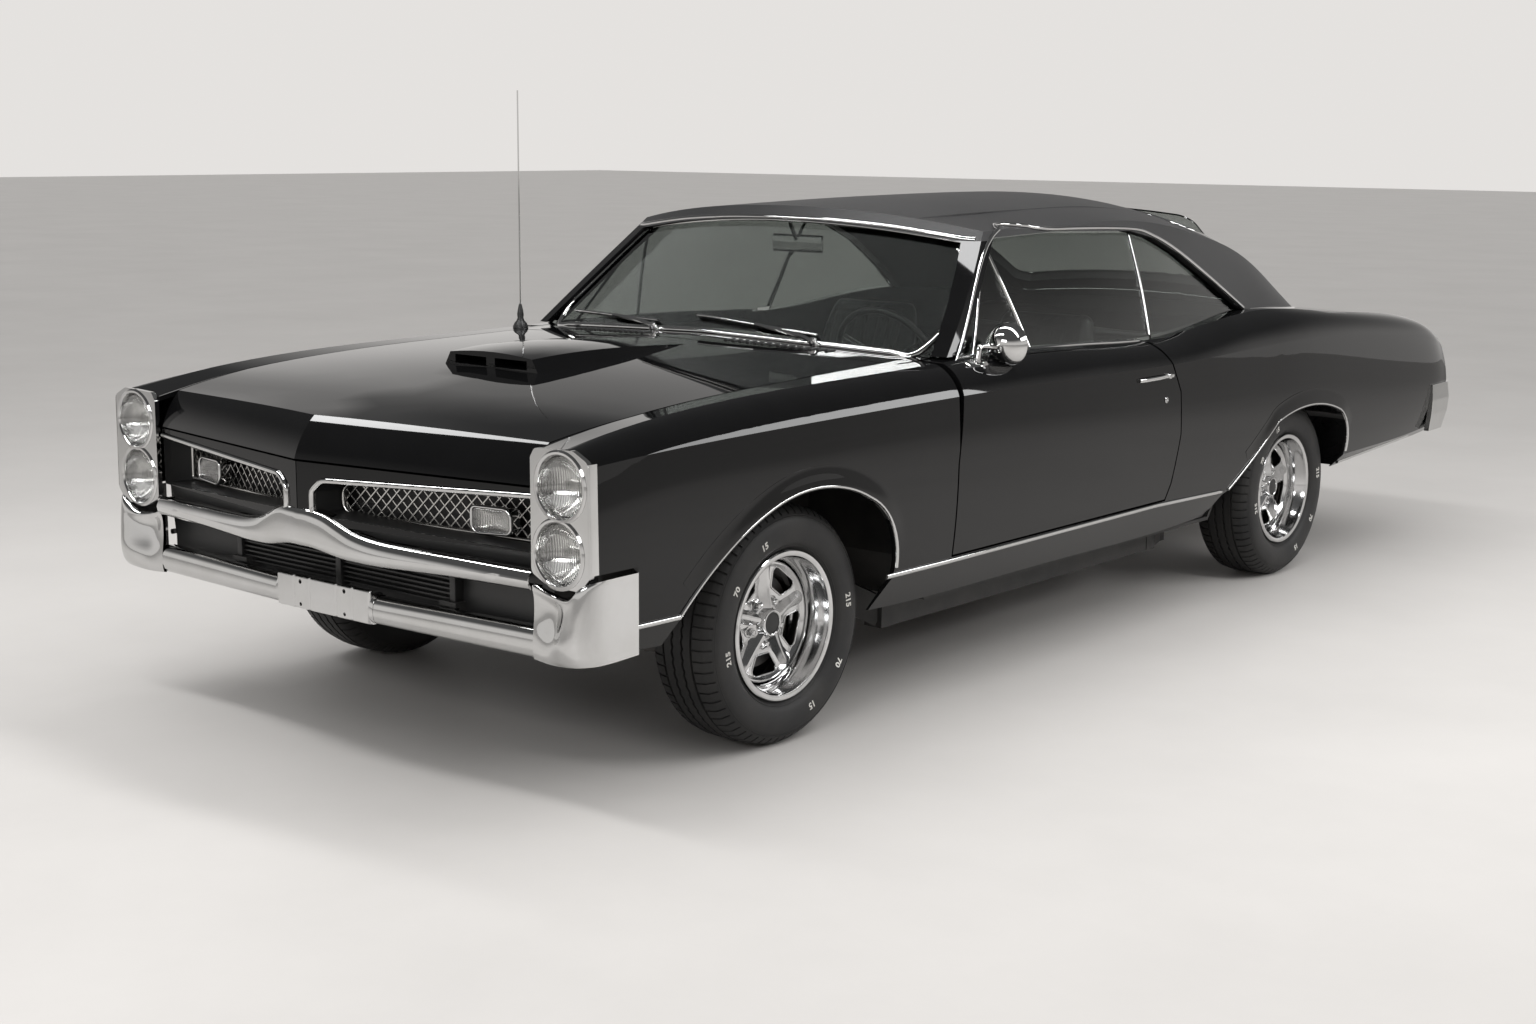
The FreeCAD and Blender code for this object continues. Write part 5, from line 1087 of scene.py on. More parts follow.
# Raised digits on the side wall, each with its angle from the top.
DIGITS = (("215", 1.45), ("70", 2.15), ("15", 2.75), ("215", 4.55), ("70", 5.25), ("15", 5.85))
DIGIT_R, DIGIT_SIZE, DIGIT_RISE = 0.244, 0.026, 0.0004

# Wheel profiles as (radius, distance from the wheel's middle).
BARREL = [
    (0.2035, 0.0855), (0.2046, 0.09), (0.2035, 0.0945), (0.2005, 0.0972), (0.196, 0.0978), (0.1905, 0.0966),
    (0.1872, 0.095), (0.1862, 0.0925), (0.185, 0.088), (0.1822, 0.08), (0.1775, 0.069), (0.1735, 0.06),
    (0.1706, 0.05), (0.169, 0.04), (0.168, 0.03), (0.164, 0.016), (0.16, 0.0), (0.16, -0.024),
    (0.181, -0.034), (0.183, -0.09), (0.195, -0.0978), (0.2035, -0.093), (0.2035, -0.086),
    (0.189, -0.084), (0.189, -0.03), (0.174, -0.02), (0.174, 0.04), (0.189, 0.052),
    (0.189, 0.084), (0.2035, 0.0855),
]
DISC = [
    (0.03, 0.03), (0.048, 0.03), (0.054, 0.027), (0.064, 0.018), (0.074, 0.015), (0.1, 0.0165),
    (0.13, 0.02), (0.148, 0.023), (0.153, 0.0275), (0.157, 0.031), (0.161, 0.031), (0.164, 0.028),
    (0.165, 0.02), (0.161, 0.006), (0.156, 0.012), (0.148, 0.018), (0.13, 0.015), (0.1, 0.0115),
    (0.074, 0.01), (0.064, 0.012), (0.048, 0.018), (0.03, 0.018), (0.03, 0.03),
]
HUB = [(0.03, 0.018), (0.044, 0.018), (0.042, 0.033), (0.0385, 0.04), (0.0375, 0.048), (0.035, 0.0515),
       (0.0315, 0.052), (0.029, 0.0505), (0.028, 0.048), (0.028, 0.018), (0.03, 0.018)]
CAP = [(0.0282, 0.047), (0.027, 0.0492), (0.015, 0.05), (0.0001, 0.0503)]
# A lug's nut, dome and pocket, each with its number of sides.
LUG_R = 0.0603
LUG = (([(0.011, 0.012), (0.011, 0.027), (0.0095, 0.03), (0.0001, 0.03)], 6),
       ([(0.0085, 0.027), (0.0082, 0.033), (0.006, 0.0365), (0.0001, 0.038)], 20),
       ([(0.0165, 0.015), (0.017, 0.0185), (0.0155, 0.0195), (0.014, 0.017), (0.013, 0.012)], 28))
# One window between two spokes, in plan and straight up: its corners and their radii.
WINDOW = ([(-0.026, 0.09), (0.026, 0.09), (0.061, 0.1455), (-0.061, 0.1455)], [0.012, 0.012, 0.014, 0.014])
# Along a spoke: radius, half width, height of its flanks and of its ridge.
SPOKE = ((0.04, 0.019, 0.024, 0.044), (0.056, 0.02, 0.021, 0.042), (0.08, 0.0195, 0.015, 0.038),
         (0.11, 0.0205, 0.0155, 0.035), (0.138, 0.0235, 0.019, 0.0335), (0.15, 0.0255, 0.0215, 0.0325),
         (0.1585, 0.027, 0.025, 0.0305))


def wall_x(radius):
    """The side wall's distance from the wheel's middle at a radius."""
    for (r0, x0), (r1, x1) in zip(SIDE_WALL, SIDE_WALL[1:]):
        if r0 <= radius <= r1:
            return x0 + (x1 - x0) * (radius - r0) / (r1 - r0)
    return SIDE_WALL[-1][1]


def wall_line():
    """The side wall as finely spaced (radius, distance) points with its raised rings."""
    line = [tuple(p) for p in smooth_table(SIDE_WALL, 2)]
    for radius, height in RAISED_RINGS:
        line += [(radius + dr, wall_x(radius) + rise)
                 for dr, rise in ((-0.001, 0), (-0.0005, height), (0.0005, height), (0.001, 0))]
    return sorted(line)


def tread_line(zigzag):
    """The tread from its outer to its inner edge as (radius, distance), with its grooves."""
    line = [(TREAD_HALF, 0.0)]
    half = GROOVE_WIDTH / 2
    for x in GROOVES:
        centre = x + (zigzag if abs(x) < 0.03 else 0.0)
        line += [(centre + half, 0.0), (centre + half - GROOVE_DRAFT, GROOVE_DEPTH),
                 (centre - half + GROOVE_DRAFT, GROOVE_DEPTH), (centre - half, 0.0)]
    line.append((-TREAD_HALF, 0.0))
    return [(TREAD_R - TREAD_CROWN * (x / TREAD_HALF) ** 4 - sunk, x) for x, sunk in line]


def build_tyre():
    """A tyre about the origin with its tread blocks, slots and side walls."""
    wall = wall_line()
    rows = []
    for pitch in range(PITCHES):
        for share, cut in PITCH_STEPS:
            angle = math.tau * (pitch + share) / PITCHES
            tread = tread_line(ZIGZAG * (4 * abs(share - 0.5) - 1))
            last, slot = len(tread) - 1, SLOT_DEPTH * cut
            tread = [(r - slot * (i in (0, 1, last - 1, last)), x) for i, (r, x) in enumerate(tread)]
            shoulder = [(r - slot * 0.7, x - slot * 0.5) if r > SLOT_FOOT_R else (r, x) for r, x in wall]
            profile = shoulder + tread + [(r, -x) for r, x in reversed(shoulder)]
            rows.append([Vector((x, r * math.sin(angle), r * math.cos(angle))) for r, x in profile])
    return rows_mesh(rows, loop=True, tube=False)


def build_digits(text, centre):
    """Raised digits that follow the tyre's side wall, standing at an angle from its top."""
    curve = bpy.data.curves.new("digits", "FONT")
    curve.body, curve.size, curve.align_x = text, DIGIT_SIZE, "CENTER"
    curve.offset, curve.extrude, curve.resolution_u = DIGIT_SIZE * 0.025, DIGIT_RISE, 4
    holder = bpy.data.objects.new("digits", curve)
    mesh = bpy.data.meshes.new_from_object(holder)
    bpy.data.objects.remove(holder)
    bpy.data.curves.remove(curve)
    for v in mesh.vertices:
        r, angle = DIGIT_R + v.co.y, centre + v.co.x / DIGIT_R
        v.co = (wall_x(r) + DIGIT_RISE + v.co.z, r * math.sin(angle), r * math.cos(angle))
    return mesh


def turned(point, angle):
    """A point turned about the wheel's axle."""
    return Matrix.Rotation(angle, 3, "X") @ Vector(point)


def build_disc():
    """The pressed disc: a rolled outer ring, five windows with turned-in edges and five ridged spokes."""
    outline, edge = rounded_outline(*WINDOW, steps=7), round_profile(0.0026, 8)
    cutters, edges = [], []
    for angle in turns(SPOKES, 0.5):
        cutters.append(rows_mesh([[turned((x, p.x, p.y), angle) for p in outline] for x in (-0.05, 0.08)]))
        ring = [turned((0.0165 + 0.0065 * max(0.0, (p.y - 0.1) / 0.048), p.x, p.y), angle) for p in outline]
        edges.append(sweep(ring, X, edge, closed=True))
    disc = carved(lathe(DISC, steps=120), cutters)
    return joined([disc, *edges, *map(build_spoke, turns(SPOKES))])


def build_spoke(angle):
    """A spoke with a raised V ridge that runs from the hub out to the ring."""
    rows = []
    for radius, half, flank, ridge in SPOKE:
        section = [(-half, flank - 0.006), (-half, flank), (-half * 0.3, ridge - 0.0012), (0.0, ridge),
                   (half * 0.3, ridge - 0.0012), (half, flank), (half, flank - 0.006)]
        rows.append([turned((x, y, radius), angle) for y, x in section])
    return rows_mesh(rows)


def build_lugs():
    """Five hexagonal lug nuts with domed ends, each in its own pocket."""
    return joined([lathe(profile, turned((0, 0, LUG_R), angle), X, sides)
                   for angle in turns(SPOKES, 0.5) for profile, sides in LUG])


class HARDTOP_OT_wheels(bpy.types.Operator):
    """Adds the tyres with their tread and the plated five-spoke wheels"""

    bl_idname = "hardtop.wheels"
    bl_label = "Wheels"

    def execute(self, context):
        # Each part: mesh, look, the angle from which an edge is sharp, and the node it stands for.
        parts = {
            "tyre": (build_tyre(), ("tyre_rubber", "tyre rubber"), 40.0, "tyre"),
            "wheel": (joined([lathe(BARREL, steps=120), build_disc(), lathe(HUB, steps=64)]),
                      ("styled_wheel", "plated wheel"), 30.0, "rim"),
            "lug_nuts": (build_lugs(), CHROME, 30.0, None),
            "centre_cap": (lathe(CAP), BLACK, 30.0, None),
            "tyre_digits": (joined([build_digits(*row) for row in DIGITS]), WHITE, 30.0, None),
        }
        for corner, (side, axle_y) in WHEELS.items():
            turn = Matrix.Rotation(0.0 if side > 0 else math.pi, 4, "Z")
            place = Matrix.Translation(mm(side * TRACK_X, axle_y, WHEEL_Z)) @ turn
            for name, (mesh, look, sharp, node) in parts.items():
                copy = mesh.copy()
                copy.transform(place)
                add_piece(f"{name}_{corner}_dressed", copy, look, f"wheel_{corner}", sharp,
                          (f"{node}_{corner}",) if node else ())
        return {"FINISHED"}


# ------------------------------------------------------------------ seats
class HardtopCabin(bpy.types.PropertyGroup):
    """How full the seats are and how deep their sewn channels lie"""

    voxel: FloatProperty(name="Cover mesh", description="Cell size of the seat covers before they are filled",
                         default=0.006, min=0.004, unit="LENGTH")
    pressure: FloatProperty(name="Filling", description="Pressure that swells the seat covers", default=4.0,
                            min=0.0)
    channel_depth: FloatProperty(name="Channels", description="Depth of the sewn channels", default=0.005,
                                 min=0.0, unit="LENGTH")


SEAT_VINYL = ("seat_vinyl", "seat vinyl")
FILL_FRAMES, FILL_REACH = 20, 0.01      # frames of swelling, and the furthest a point may move
DRIVER_X = 0.37


def remeshed(mesh, voxel):
    cover = linked("cover", mesh)
    even = cover.modifiers.new("even", "REMESH")
    even.mode, even.voxel_size = "VOXEL", voxel
    return evaluated(cover)


def filled(mesh, pressure):
    """Swells a closed cover under pressure, no point moving further than the reach."""
    scene = bpy.context.scene
    cover = linked("cover", mesh)
    cloth = cover.modifiers.new("fill", "CLOTH")
    cloth.settings.use_pressure = True
    cloth.settings.uniform_pressure_force = pressure
    cloth.settings.effector_weights.gravity = 0.0
    cloth.settings.quality = 4
    cloth.point_cache.frame_start, cloth.point_cache.frame_end = 1, FILL_FRAMES
    for frame_number in range(1, FILL_FRAMES + 1):
        scene.frame_set(frame_number)
    swollen = evaluated(cover)
    scene.frame_set(1)
    for start, end in zip(mesh.vertices, swollen.vertices):
        move = end.co - start.co
        if move.length > FILL_REACH:
            move = move.normalized() * FILL_REACH
        end.co = start.co + move
    return swollen


def dip(distance, width=0.0045):
    return math.exp(-(distance / width) ** 2)


def sewn(mesh, face, half_width, half_length, channels, depth):
    """Sinks a border seam and lengthwise channels into the side of a pad that faces a direction.

    The pad's width runs along X and its length along the remaining axis.
    """
    length_axis = 1 if abs(face.z) > 0.5 else 2
    spacing = 2 * half_width / channels
    facing = [v.normal.dot(face) for v in mesh.vertices]
    for v, toward in zip(mesh.vertices, facing):
        if toward < 0.3:
            continue
        x, s = abs(v.co.x), abs(v.co[length_axis])
        outside = math.hypot(max(x - half_width, 0), max(s - half_length, 0))
        sink = dip(outside or min(half_width - x, half_length - s))
        if x < half_width and s < half_length:
            share = (v.co.x + half_width) / spacing
            sink = max(sink, dip(abs(share - round(share)) * spacing))
        v.co -= face * (depth * sink * min(1.0, toward * 1.6))
    return mesh


def cushion_shape(p):
    """Dished along its middle, with raised side bolsters and a rolled front edge."""
    bolster = 0.01 * (abs(p.x) / 0.22) ** 3
    roll = -0.02 * max(0.0, (-p.y - 0.12) / 0.13) ** 2
    return Vector((p.x, p.y, p.z + (bolster + roll if p.z > 0 else 0.0)))


def back_shape(p):
    """Thinner and narrower towards its top, with rounded shoulders."""
    t = (p.z + 0.28) / 0.56
    narrow = 1.0 - 0.1 * t ** 2 - 0.1 * max(0.0, t - 0.8) / 0.2
    bolster = -0.01 * (abs(p.x) / 0.22) ** 3 if p.y < 0 else 0.0
    return Vector((p.x * narrow, p.y * (1.15 - 0.45 * t) + bolster * (1 - t), p.z))


def bench_shape(p):
    """Hollowed a little at each of its two places."""
    hollow = 0.008 * math.cos((abs(p.x) - 0.27) / 0.27 * math.pi / 2) ** 2
    return Vector((p.x, p.y + (hollow if p.y < -0.03 else 0.0), p.z - (hollow if p.z > 0.03 else 0.0)))


# Pads: size, bevel, shape, the side that is sewn, half sizes of its sewn field and number of channels.
PADS = {
    "cushion": ((0.455, 0.5, 0.095), 0.034, cushion_shape, Z, (0.16, 0.195), 6),
    "back": ((0.45, 0.075, 0.56), 0.034, back_shape, -Y, (0.15, 0.215), 6),
    "bench": ((1.09, 0.39, 0.085), 0.032, bench_shape, Z, (0.48, 0.15), 16),
    "rest": ((1.09, 0.09, 0.44), 0.034, bench_shape, -Y, (0.48, 0.17), 16),
}
# Soft pieces: pad, x in metres, then y and z in the drawing, lean in degrees, and the node it stands for.
SOFT_PIECES = {
    "seat_cushion_left": ("cushion", DRIVER_X, -85, 405, -2, ("front_seats",)),
    "seat_back_left": ("back", DRIVER_X, 272, 745, 18.7, ()),
    "seat_cushion_right": ("cushion", -DRIVER_X, -85, 405, -2, ()),
    "seat_back_right": ("back", -DRIVER_X, 272, 745, 18.7, ()),
    "bench_cushion": ("bench", 0, 752, 420, -3.5, ("rear_seat",)),
    "bench_back": ("rest", 0, 1085, 685, 17.0, ()),
}


def build_pad(cabin, size, bevel, shape, face, field, channels):
    """A filled pad about the origin: a rounded block, shaped, swollen and sewn."""
    high = Vector([s / 2 for s in size])
    mesh = remeshed(block(-high, high, bevel, 4), cabin.voxel)
    for v in mesh.vertices:
        v.co = shape(v.co)
    mesh = filled(mesh, cabin.pressure)
    return sewn(mesh, face, *field, channels, cabin.channel_depth)


class HARDTOP_OT_seats(bpy.types.Operator):
    """Fills and sews the two front seats and the rear bench"""

    bl_idname = "hardtop.seats"
    bl_label = "Seats"

    def execute(self, context):
        pads = {name: build_pad(context.scene.hardtop_cabin, *row) for name, row in PADS.items()}
        for name, (kind, x, y, z, lean, nodes) in SOFT_PIECES.items():
            mesh = pads[kind].copy()
            turn = Matrix.Rotation(-math.radians(lean), 4, "X")
            mesh.transform(Matrix.Translation(mm(0, y, z) + X * x) @ turn)
            add_piece(name, mesh, SEAT_VINYL, sharp=0, replaces=nodes)
        for side, x in (("left", DRIVER_X), ("right", -DRIVER_X)):
            add_piece(f"seat_base_{side}", self.base(x), ("seat_vinyl", "satin black trim"))
            add_piece(f"seat_hinge_{side}", self.hinges(x), CHROME)
        return {"FINISHED"}

    def base(self, x):
        """The shell under the cushion, on its two rails."""
        low, high = mm(0, -320, 340), mm(0, 165, 372)
        parts = [block(low + X * (x - 0.215), high + X * (x + 0.215), 0.012)]
        low, high = mm(0, -300, 277), mm(0, 150, 343)
        for rail_x in (x - 0.19, x + 0.19):
            parts.append(block(low + X * (rail_x - 0.014), high + X * (rail_x + 0.014), 0.004))
        return joined(parts)

    def hinges(self, x):
        """The bright hinges at both sides, between cushion and back."""
        profile = [(0.03, -0.003), (0.03, 0.002), (0.024, 0.005), (0.008, 0.006), (0.0001, 0.006)]
        return joined([lathe(profile, mm(0, 170, 450) + X * (x + side * 0.226), X * side, 32)
                       for side in (-1, 1)])


# ------------------------------------------------------------------ cabin fittings
STEERING_PLACE = mm(370, -560, 895)
STEERING_LEAN = math.radians(-66.0)
GRIP_R, GRIP_HALF = 0.19, 0.0105
GAUGES = ((0.215, 0.036), (0.315, 0.046), (0.425, 0.046), (0.525, 0.036))     # x and radius
GAUGE_PLACE = mm(0, -845, 832) + Y * 0.004
GAUGE_TILT = math.radians(12.0)
GAUGE_AXIS = Vector((0, math.cos(GAUGE_TILT), math.sin(GAUGE_TILT)))
LEVER_Y = -330
DOOR_FACE_X = 781          # inner face of the door's trim, in millimetres
CONSOLE_LINE = [(-600, 455), (-600, 505), (-560, 535), (-420, 520), (-120, 500), (130, 494), (160, 470),
                (160, 420), (-200, 430)]
DOOR_LINE = [(-970, 470), (-970, 700), (-950, 905), (-700, 935), (-300, 934), (100, 925), (170, 900),
             (235, 760), (240, 640), (215, 480), (190, 450), (-940, 450)]


class HARDTOP_OT_fittings(bpy.types.Operator):
    """Adds the steering wheel, gauges, inside mirror, console, gear lever and door panels"""

    bl_idname = "hardtop.fittings"
    bl_label = "Cabin fittings"

    def execute(self, context):
        rim, bright = self.steering_wheel()
        add_piece("steering_rim", rim, BLACK, replaces=("steering_wheel",))
        rings, faces, marks = self.gauges()
        shell, glass = self.inside_mirror()
        for name, mesh, look in (
                ("steering_spokes", bright, CHROME), ("gauge_rings", rings, CHROME),
                ("gauge_faces", faces, BLACK), ("gauge_marks", marks, WHITE),
                ("inside_mirror", shell, CHROME), ("inside_mirror_glass", glass, MIRROR),
                ("console", self.console(), BLACK), ("gear_lever", self.gear_lever(), CHROME)):
            add_piece(name, mesh, look)
        add_pair("door_panel", self.door_panel(), SEAT_VINYL, DOORS)
        add_pair("door_panel_strip", self.door_strip(), CHROME, DOORS)
        add_pair("window_crank", self.crank(), CHROME, DOORS)
        return {"FINISHED"}

    def steering_wheel(self):
        """The dark rim with its column, and the bright cap with three double spokes."""
        grip = [(GRIP_R + across, out) for across, out in round_profile(GRIP_HALF, 12)]
        column = lathe([(0.0001, -0.36), (0.03, -0.358), (0.03, -0.06), (0.024, -0.03), (0.04, -0.014),
                        (0.044, 0.004), (0.0001, 0.004)], axis=Z, steps=40)
        dark = joined([lathe([*grip, grip[0]], axis=Z, steps=96), column])
        spokes = [lathe([(0.04, 0.002), (0.038, 0.014), (0.026, 0.02), (0.0001, 0.021)], axis=Z, steps=40)]
        for angle in (90, 210, 330):
            for across in (-0.0085, 0.0085):
                spoke = block((across - 0.006, 0.034, -0.003), (across + 0.006, 0.186, 0.001), 0.0015)
                spoke.transform(Matrix.Rotation(math.radians(angle - 90), 4, "Z"))
                spokes.append(spoke)
        bright = joined(spokes)
        for mesh in (dark, bright):
            mesh.transform(Matrix.Translation(STEERING_PLACE) @ Matrix.Rotation(STEERING_LEAN, 4, "X"))
        return dark, bright

    def gauges(self):
        """Round dials in the dash ahead of the driver, each with a ring, scale marks and a needle."""
        rings, faces, marks = [], [], []
        up = GAUGE_AXIS.cross(X)
        for x, radius in GAUGES:
            centre = GAUGE_PLACE + X * x
            ring = [(radius + dr, offset) for dr, offset in
                    ((0.004, -0.006), (0.004, 0.003), (0.001, 0.006), (-0.002, 0.003), (-0.003, -0.004))]
            rings.append(lathe(ring, centre, GAUGE_AXIS))
            faces.append(lathe([(radius - 0.002, -0.004), (0.0001, -0.004)], centre, GAUGE_AXIS))
            for angle in (math.radians(-120 + 30 * k) for k in range(9)):
                out = up * -math.cos(angle) + X * math.sin(angle)
                marks.append(self.mark(centre, -0.003, out, radius * 0.72, radius * 0.88, 0.001))
            marks.append(self.mark(centre, -0.002, up * -0.7 - X * 0.7, 0.0, radius * 0.66, 0.0009))
        return joined(rings), joined(faces), joined(marks)

    def mark(self, centre, rise, out, inner, outer, half):
        """A flat bar on a dial, from an inner to an outer radius."""
        centre = centre + GAUGE_AXIS * rise
        across = out.cross(GAUGE_AXIS).normalized() * half
        corners = [centre + out * inner - across, centre + out * inner + across,
                   centre + out * outer + across, centre + out * outer - across]
        return rows_mesh([corners, [p + GAUGE_AXIS * 0.0006 for p in corners]])

    def inside_mirror(self):
        shell = block(mm(-102, -574, 1230), mm(102, -556, 1286), 0.008, 4)
        stem = sweep([mm(0, -572, 1270), mm(0, -590, 1300), mm(0, -604, 1326)], -Y, round_profile(0.007, 12))
        return joined([shell, stem]), block(mm(-94, -557, 1237), mm(94, -554.5, 1279), 0.001, 2)

    def console(self):
        """A long box over the shaft tunnel with rounded edges and a sunk top panel."""
        return rows_mesh([[mm(x, y, z - (drop if z > 460 else 0)) for y, z in CONSOLE_LINE] for x, drop in
                          ((-78, 14), (-74, 4), (-60, 0), (60, 0), (74, 4), (78, 14))])

    def gear_lever(self):
        foot, top = mm(0, LEVER_Y, 512), mm(0, -290, 690)
        stick = sweep([foot, foot.lerp(top, 0.5), top], -Y, round_profile(0.006, 12))
        knob = lathe([(0.0001, -0.022), (0.015, -0.017), (0.022, 0.0), (0.016, 0.016), (0.0001, 0.022)],
                     top, Z, 28)
        plate = lathe([(0.052, 0.0), (0.048, 0.004), (0.026, 0.006), (0.008, 0.012)],
                      mm(0, LEVER_Y, 508), Z, 40)
        return joined([stick, knob, plate])

    def door_panel(self):
        """A sewn panel over the door's inner face, pleated below the armrest, and the armrest's pad."""
        rows = [[mm(x, y + (shrink if y < -500 else -shrink), z + (shrink if z < 500 else -shrink))
                 for y, z in DOOR_LINE] for x, shrink in ((785.2, 0), (782.5, 2), (781.2, 6))]
        rest = block(mm(735, -712, 634), mm(784, -68, 706), 0.014, 4)
        pleats = [sweep([mm(DOOR_FACE_X, y, 478), mm(DOOR_FACE_X, y, 610)], -X, half_round(0.04, 0.0028))
                  for y in range(-900, 109, 48)]
        return joined([rows_mesh(rows), rest, *pleats])

    def door_strip(self):
        return sweep([mm(DOOR_FACE_X, y, 728) for y in range(-930, 200, 80)], -X, half_round(0.012, 0.003))

    def crank(self):
        """The window crank and, ahead of it, the door's inside handle."""
        hub, pull = mm(DOOR_FACE_X, -420, 770), mm(DOOR_FACE_X, -640, 800)
        tip = hub + Vector((-0.016, 0.11, -0.02))
        return joined([
            lathe([(0.024, 0.0), (0.022, 0.006), (0.012, 0.01), (0.0001, 0.011)], hub, -X, 32),
            sweep([hub - X * 0.01, tip], -X, round_profile(0.006, 12)),
            lathe([(0.008, 0.0), (0.012, 0.01), (0.012, 0.024), (0.0001, 0.028)], tip, -X, 24),
            lathe([(0.016, 0.0), (0.014, 0.006), (0.0001, 0.008)], pull, -X, 28),
            sweep([mm(776, -640, 800), mm(770, -560, 806)], -X, round_profile(0.0055)),
        ])


# ------------------------------------------------------------------ small outside parts
MIRROR_FOOT = mm(871, -815, 0)
MIRROR_HEAD = mm(882, -690, 1004)
GLASS_FRONT_BACK = 0.024   # the windshield's outer face, behind the cab's front surface
WIPERS = ((0.42, -0.06), (-0.2, -0.68))     # x of each pivot and of its blade's tip
WIPER_OUT = Vector((0, -0.7, 0.7))
PIPE_END = mm(446, 2560, 285)
LAMP_FACE_Y = 2636.0
LAMP_FRAME = [(416, 498), (730, 498), (730, 562), (416, 562)]
HANDLE_Z, HANDLE_X_MAX = 0.84, 0.93
HANDLE_Y0, HANDLE_LENGTH, BUTTON_Y = -0.022, 0.216, 0.168
DOOR_LOCK_PLACE = (0.157, 0.763)
LID_LOCK_PLACE = (0.0, 2.462)
SEAM_X, SEAM_Y0, SEAM_LENGTH = 0.475, -0.6, 1.56
ANTENNA_PLACE = (-0.8, -1.068)
TAIL_LINE = [(1648, 384), (1900, 398), (2285, 420)]
# Tail panel from the middle out: x and the height of its top edge, in metres; then where its face lies.
TAIL_PANEL = [(0, 0.806), (0.3, 0.803), (0.6, 0.797), (0.655, 0.794), (0.683, 0.783), (0.783, 0.783)]
TAIL_FACE_Y, TAIL_PLATE = 2.5505, 0.0025

MIRROR_SHELL = [(0.0001, -0.044), (0.018, -0.0425), (0.034, -0.036), (0.047, -0.025), (0.057, -0.011),
                (0.0625, 0.004), (0.0648, 0.016), (0.0648, 0.021), (0.062, 0.022), (0.0595, 0.019)]
ANTENNA_FOOT = [(0.026, 0.0), (0.025, 0.008), (0.02, 0.018), (0.013, 0.026), (0.01, 0.034),
                (0.011, 0.048), (0.009, 0.06), (0.0055, 0.076), (0.0026, 0.082)]
PIPE_TIP = [(0.0286, -0.09), (0.03, -0.086), (0.03, 0.002), (0.0292, 0.0035), (0.0265, 0.002),
            (0.026, -0.06), (0.0001, -0.062)]
DOOR_LOCK = [(0.0105, -0.001), (0.0105, 0.0015), (0.009, 0.003), (0.004, 0.003), (0.0036, 0.0018),
             (0.0001, 0.0018)]
LID_LOCK = [(0.014, -0.001), (0.0135, 0.002), (0.008, 0.0028), (0.0001, 0.0025)]


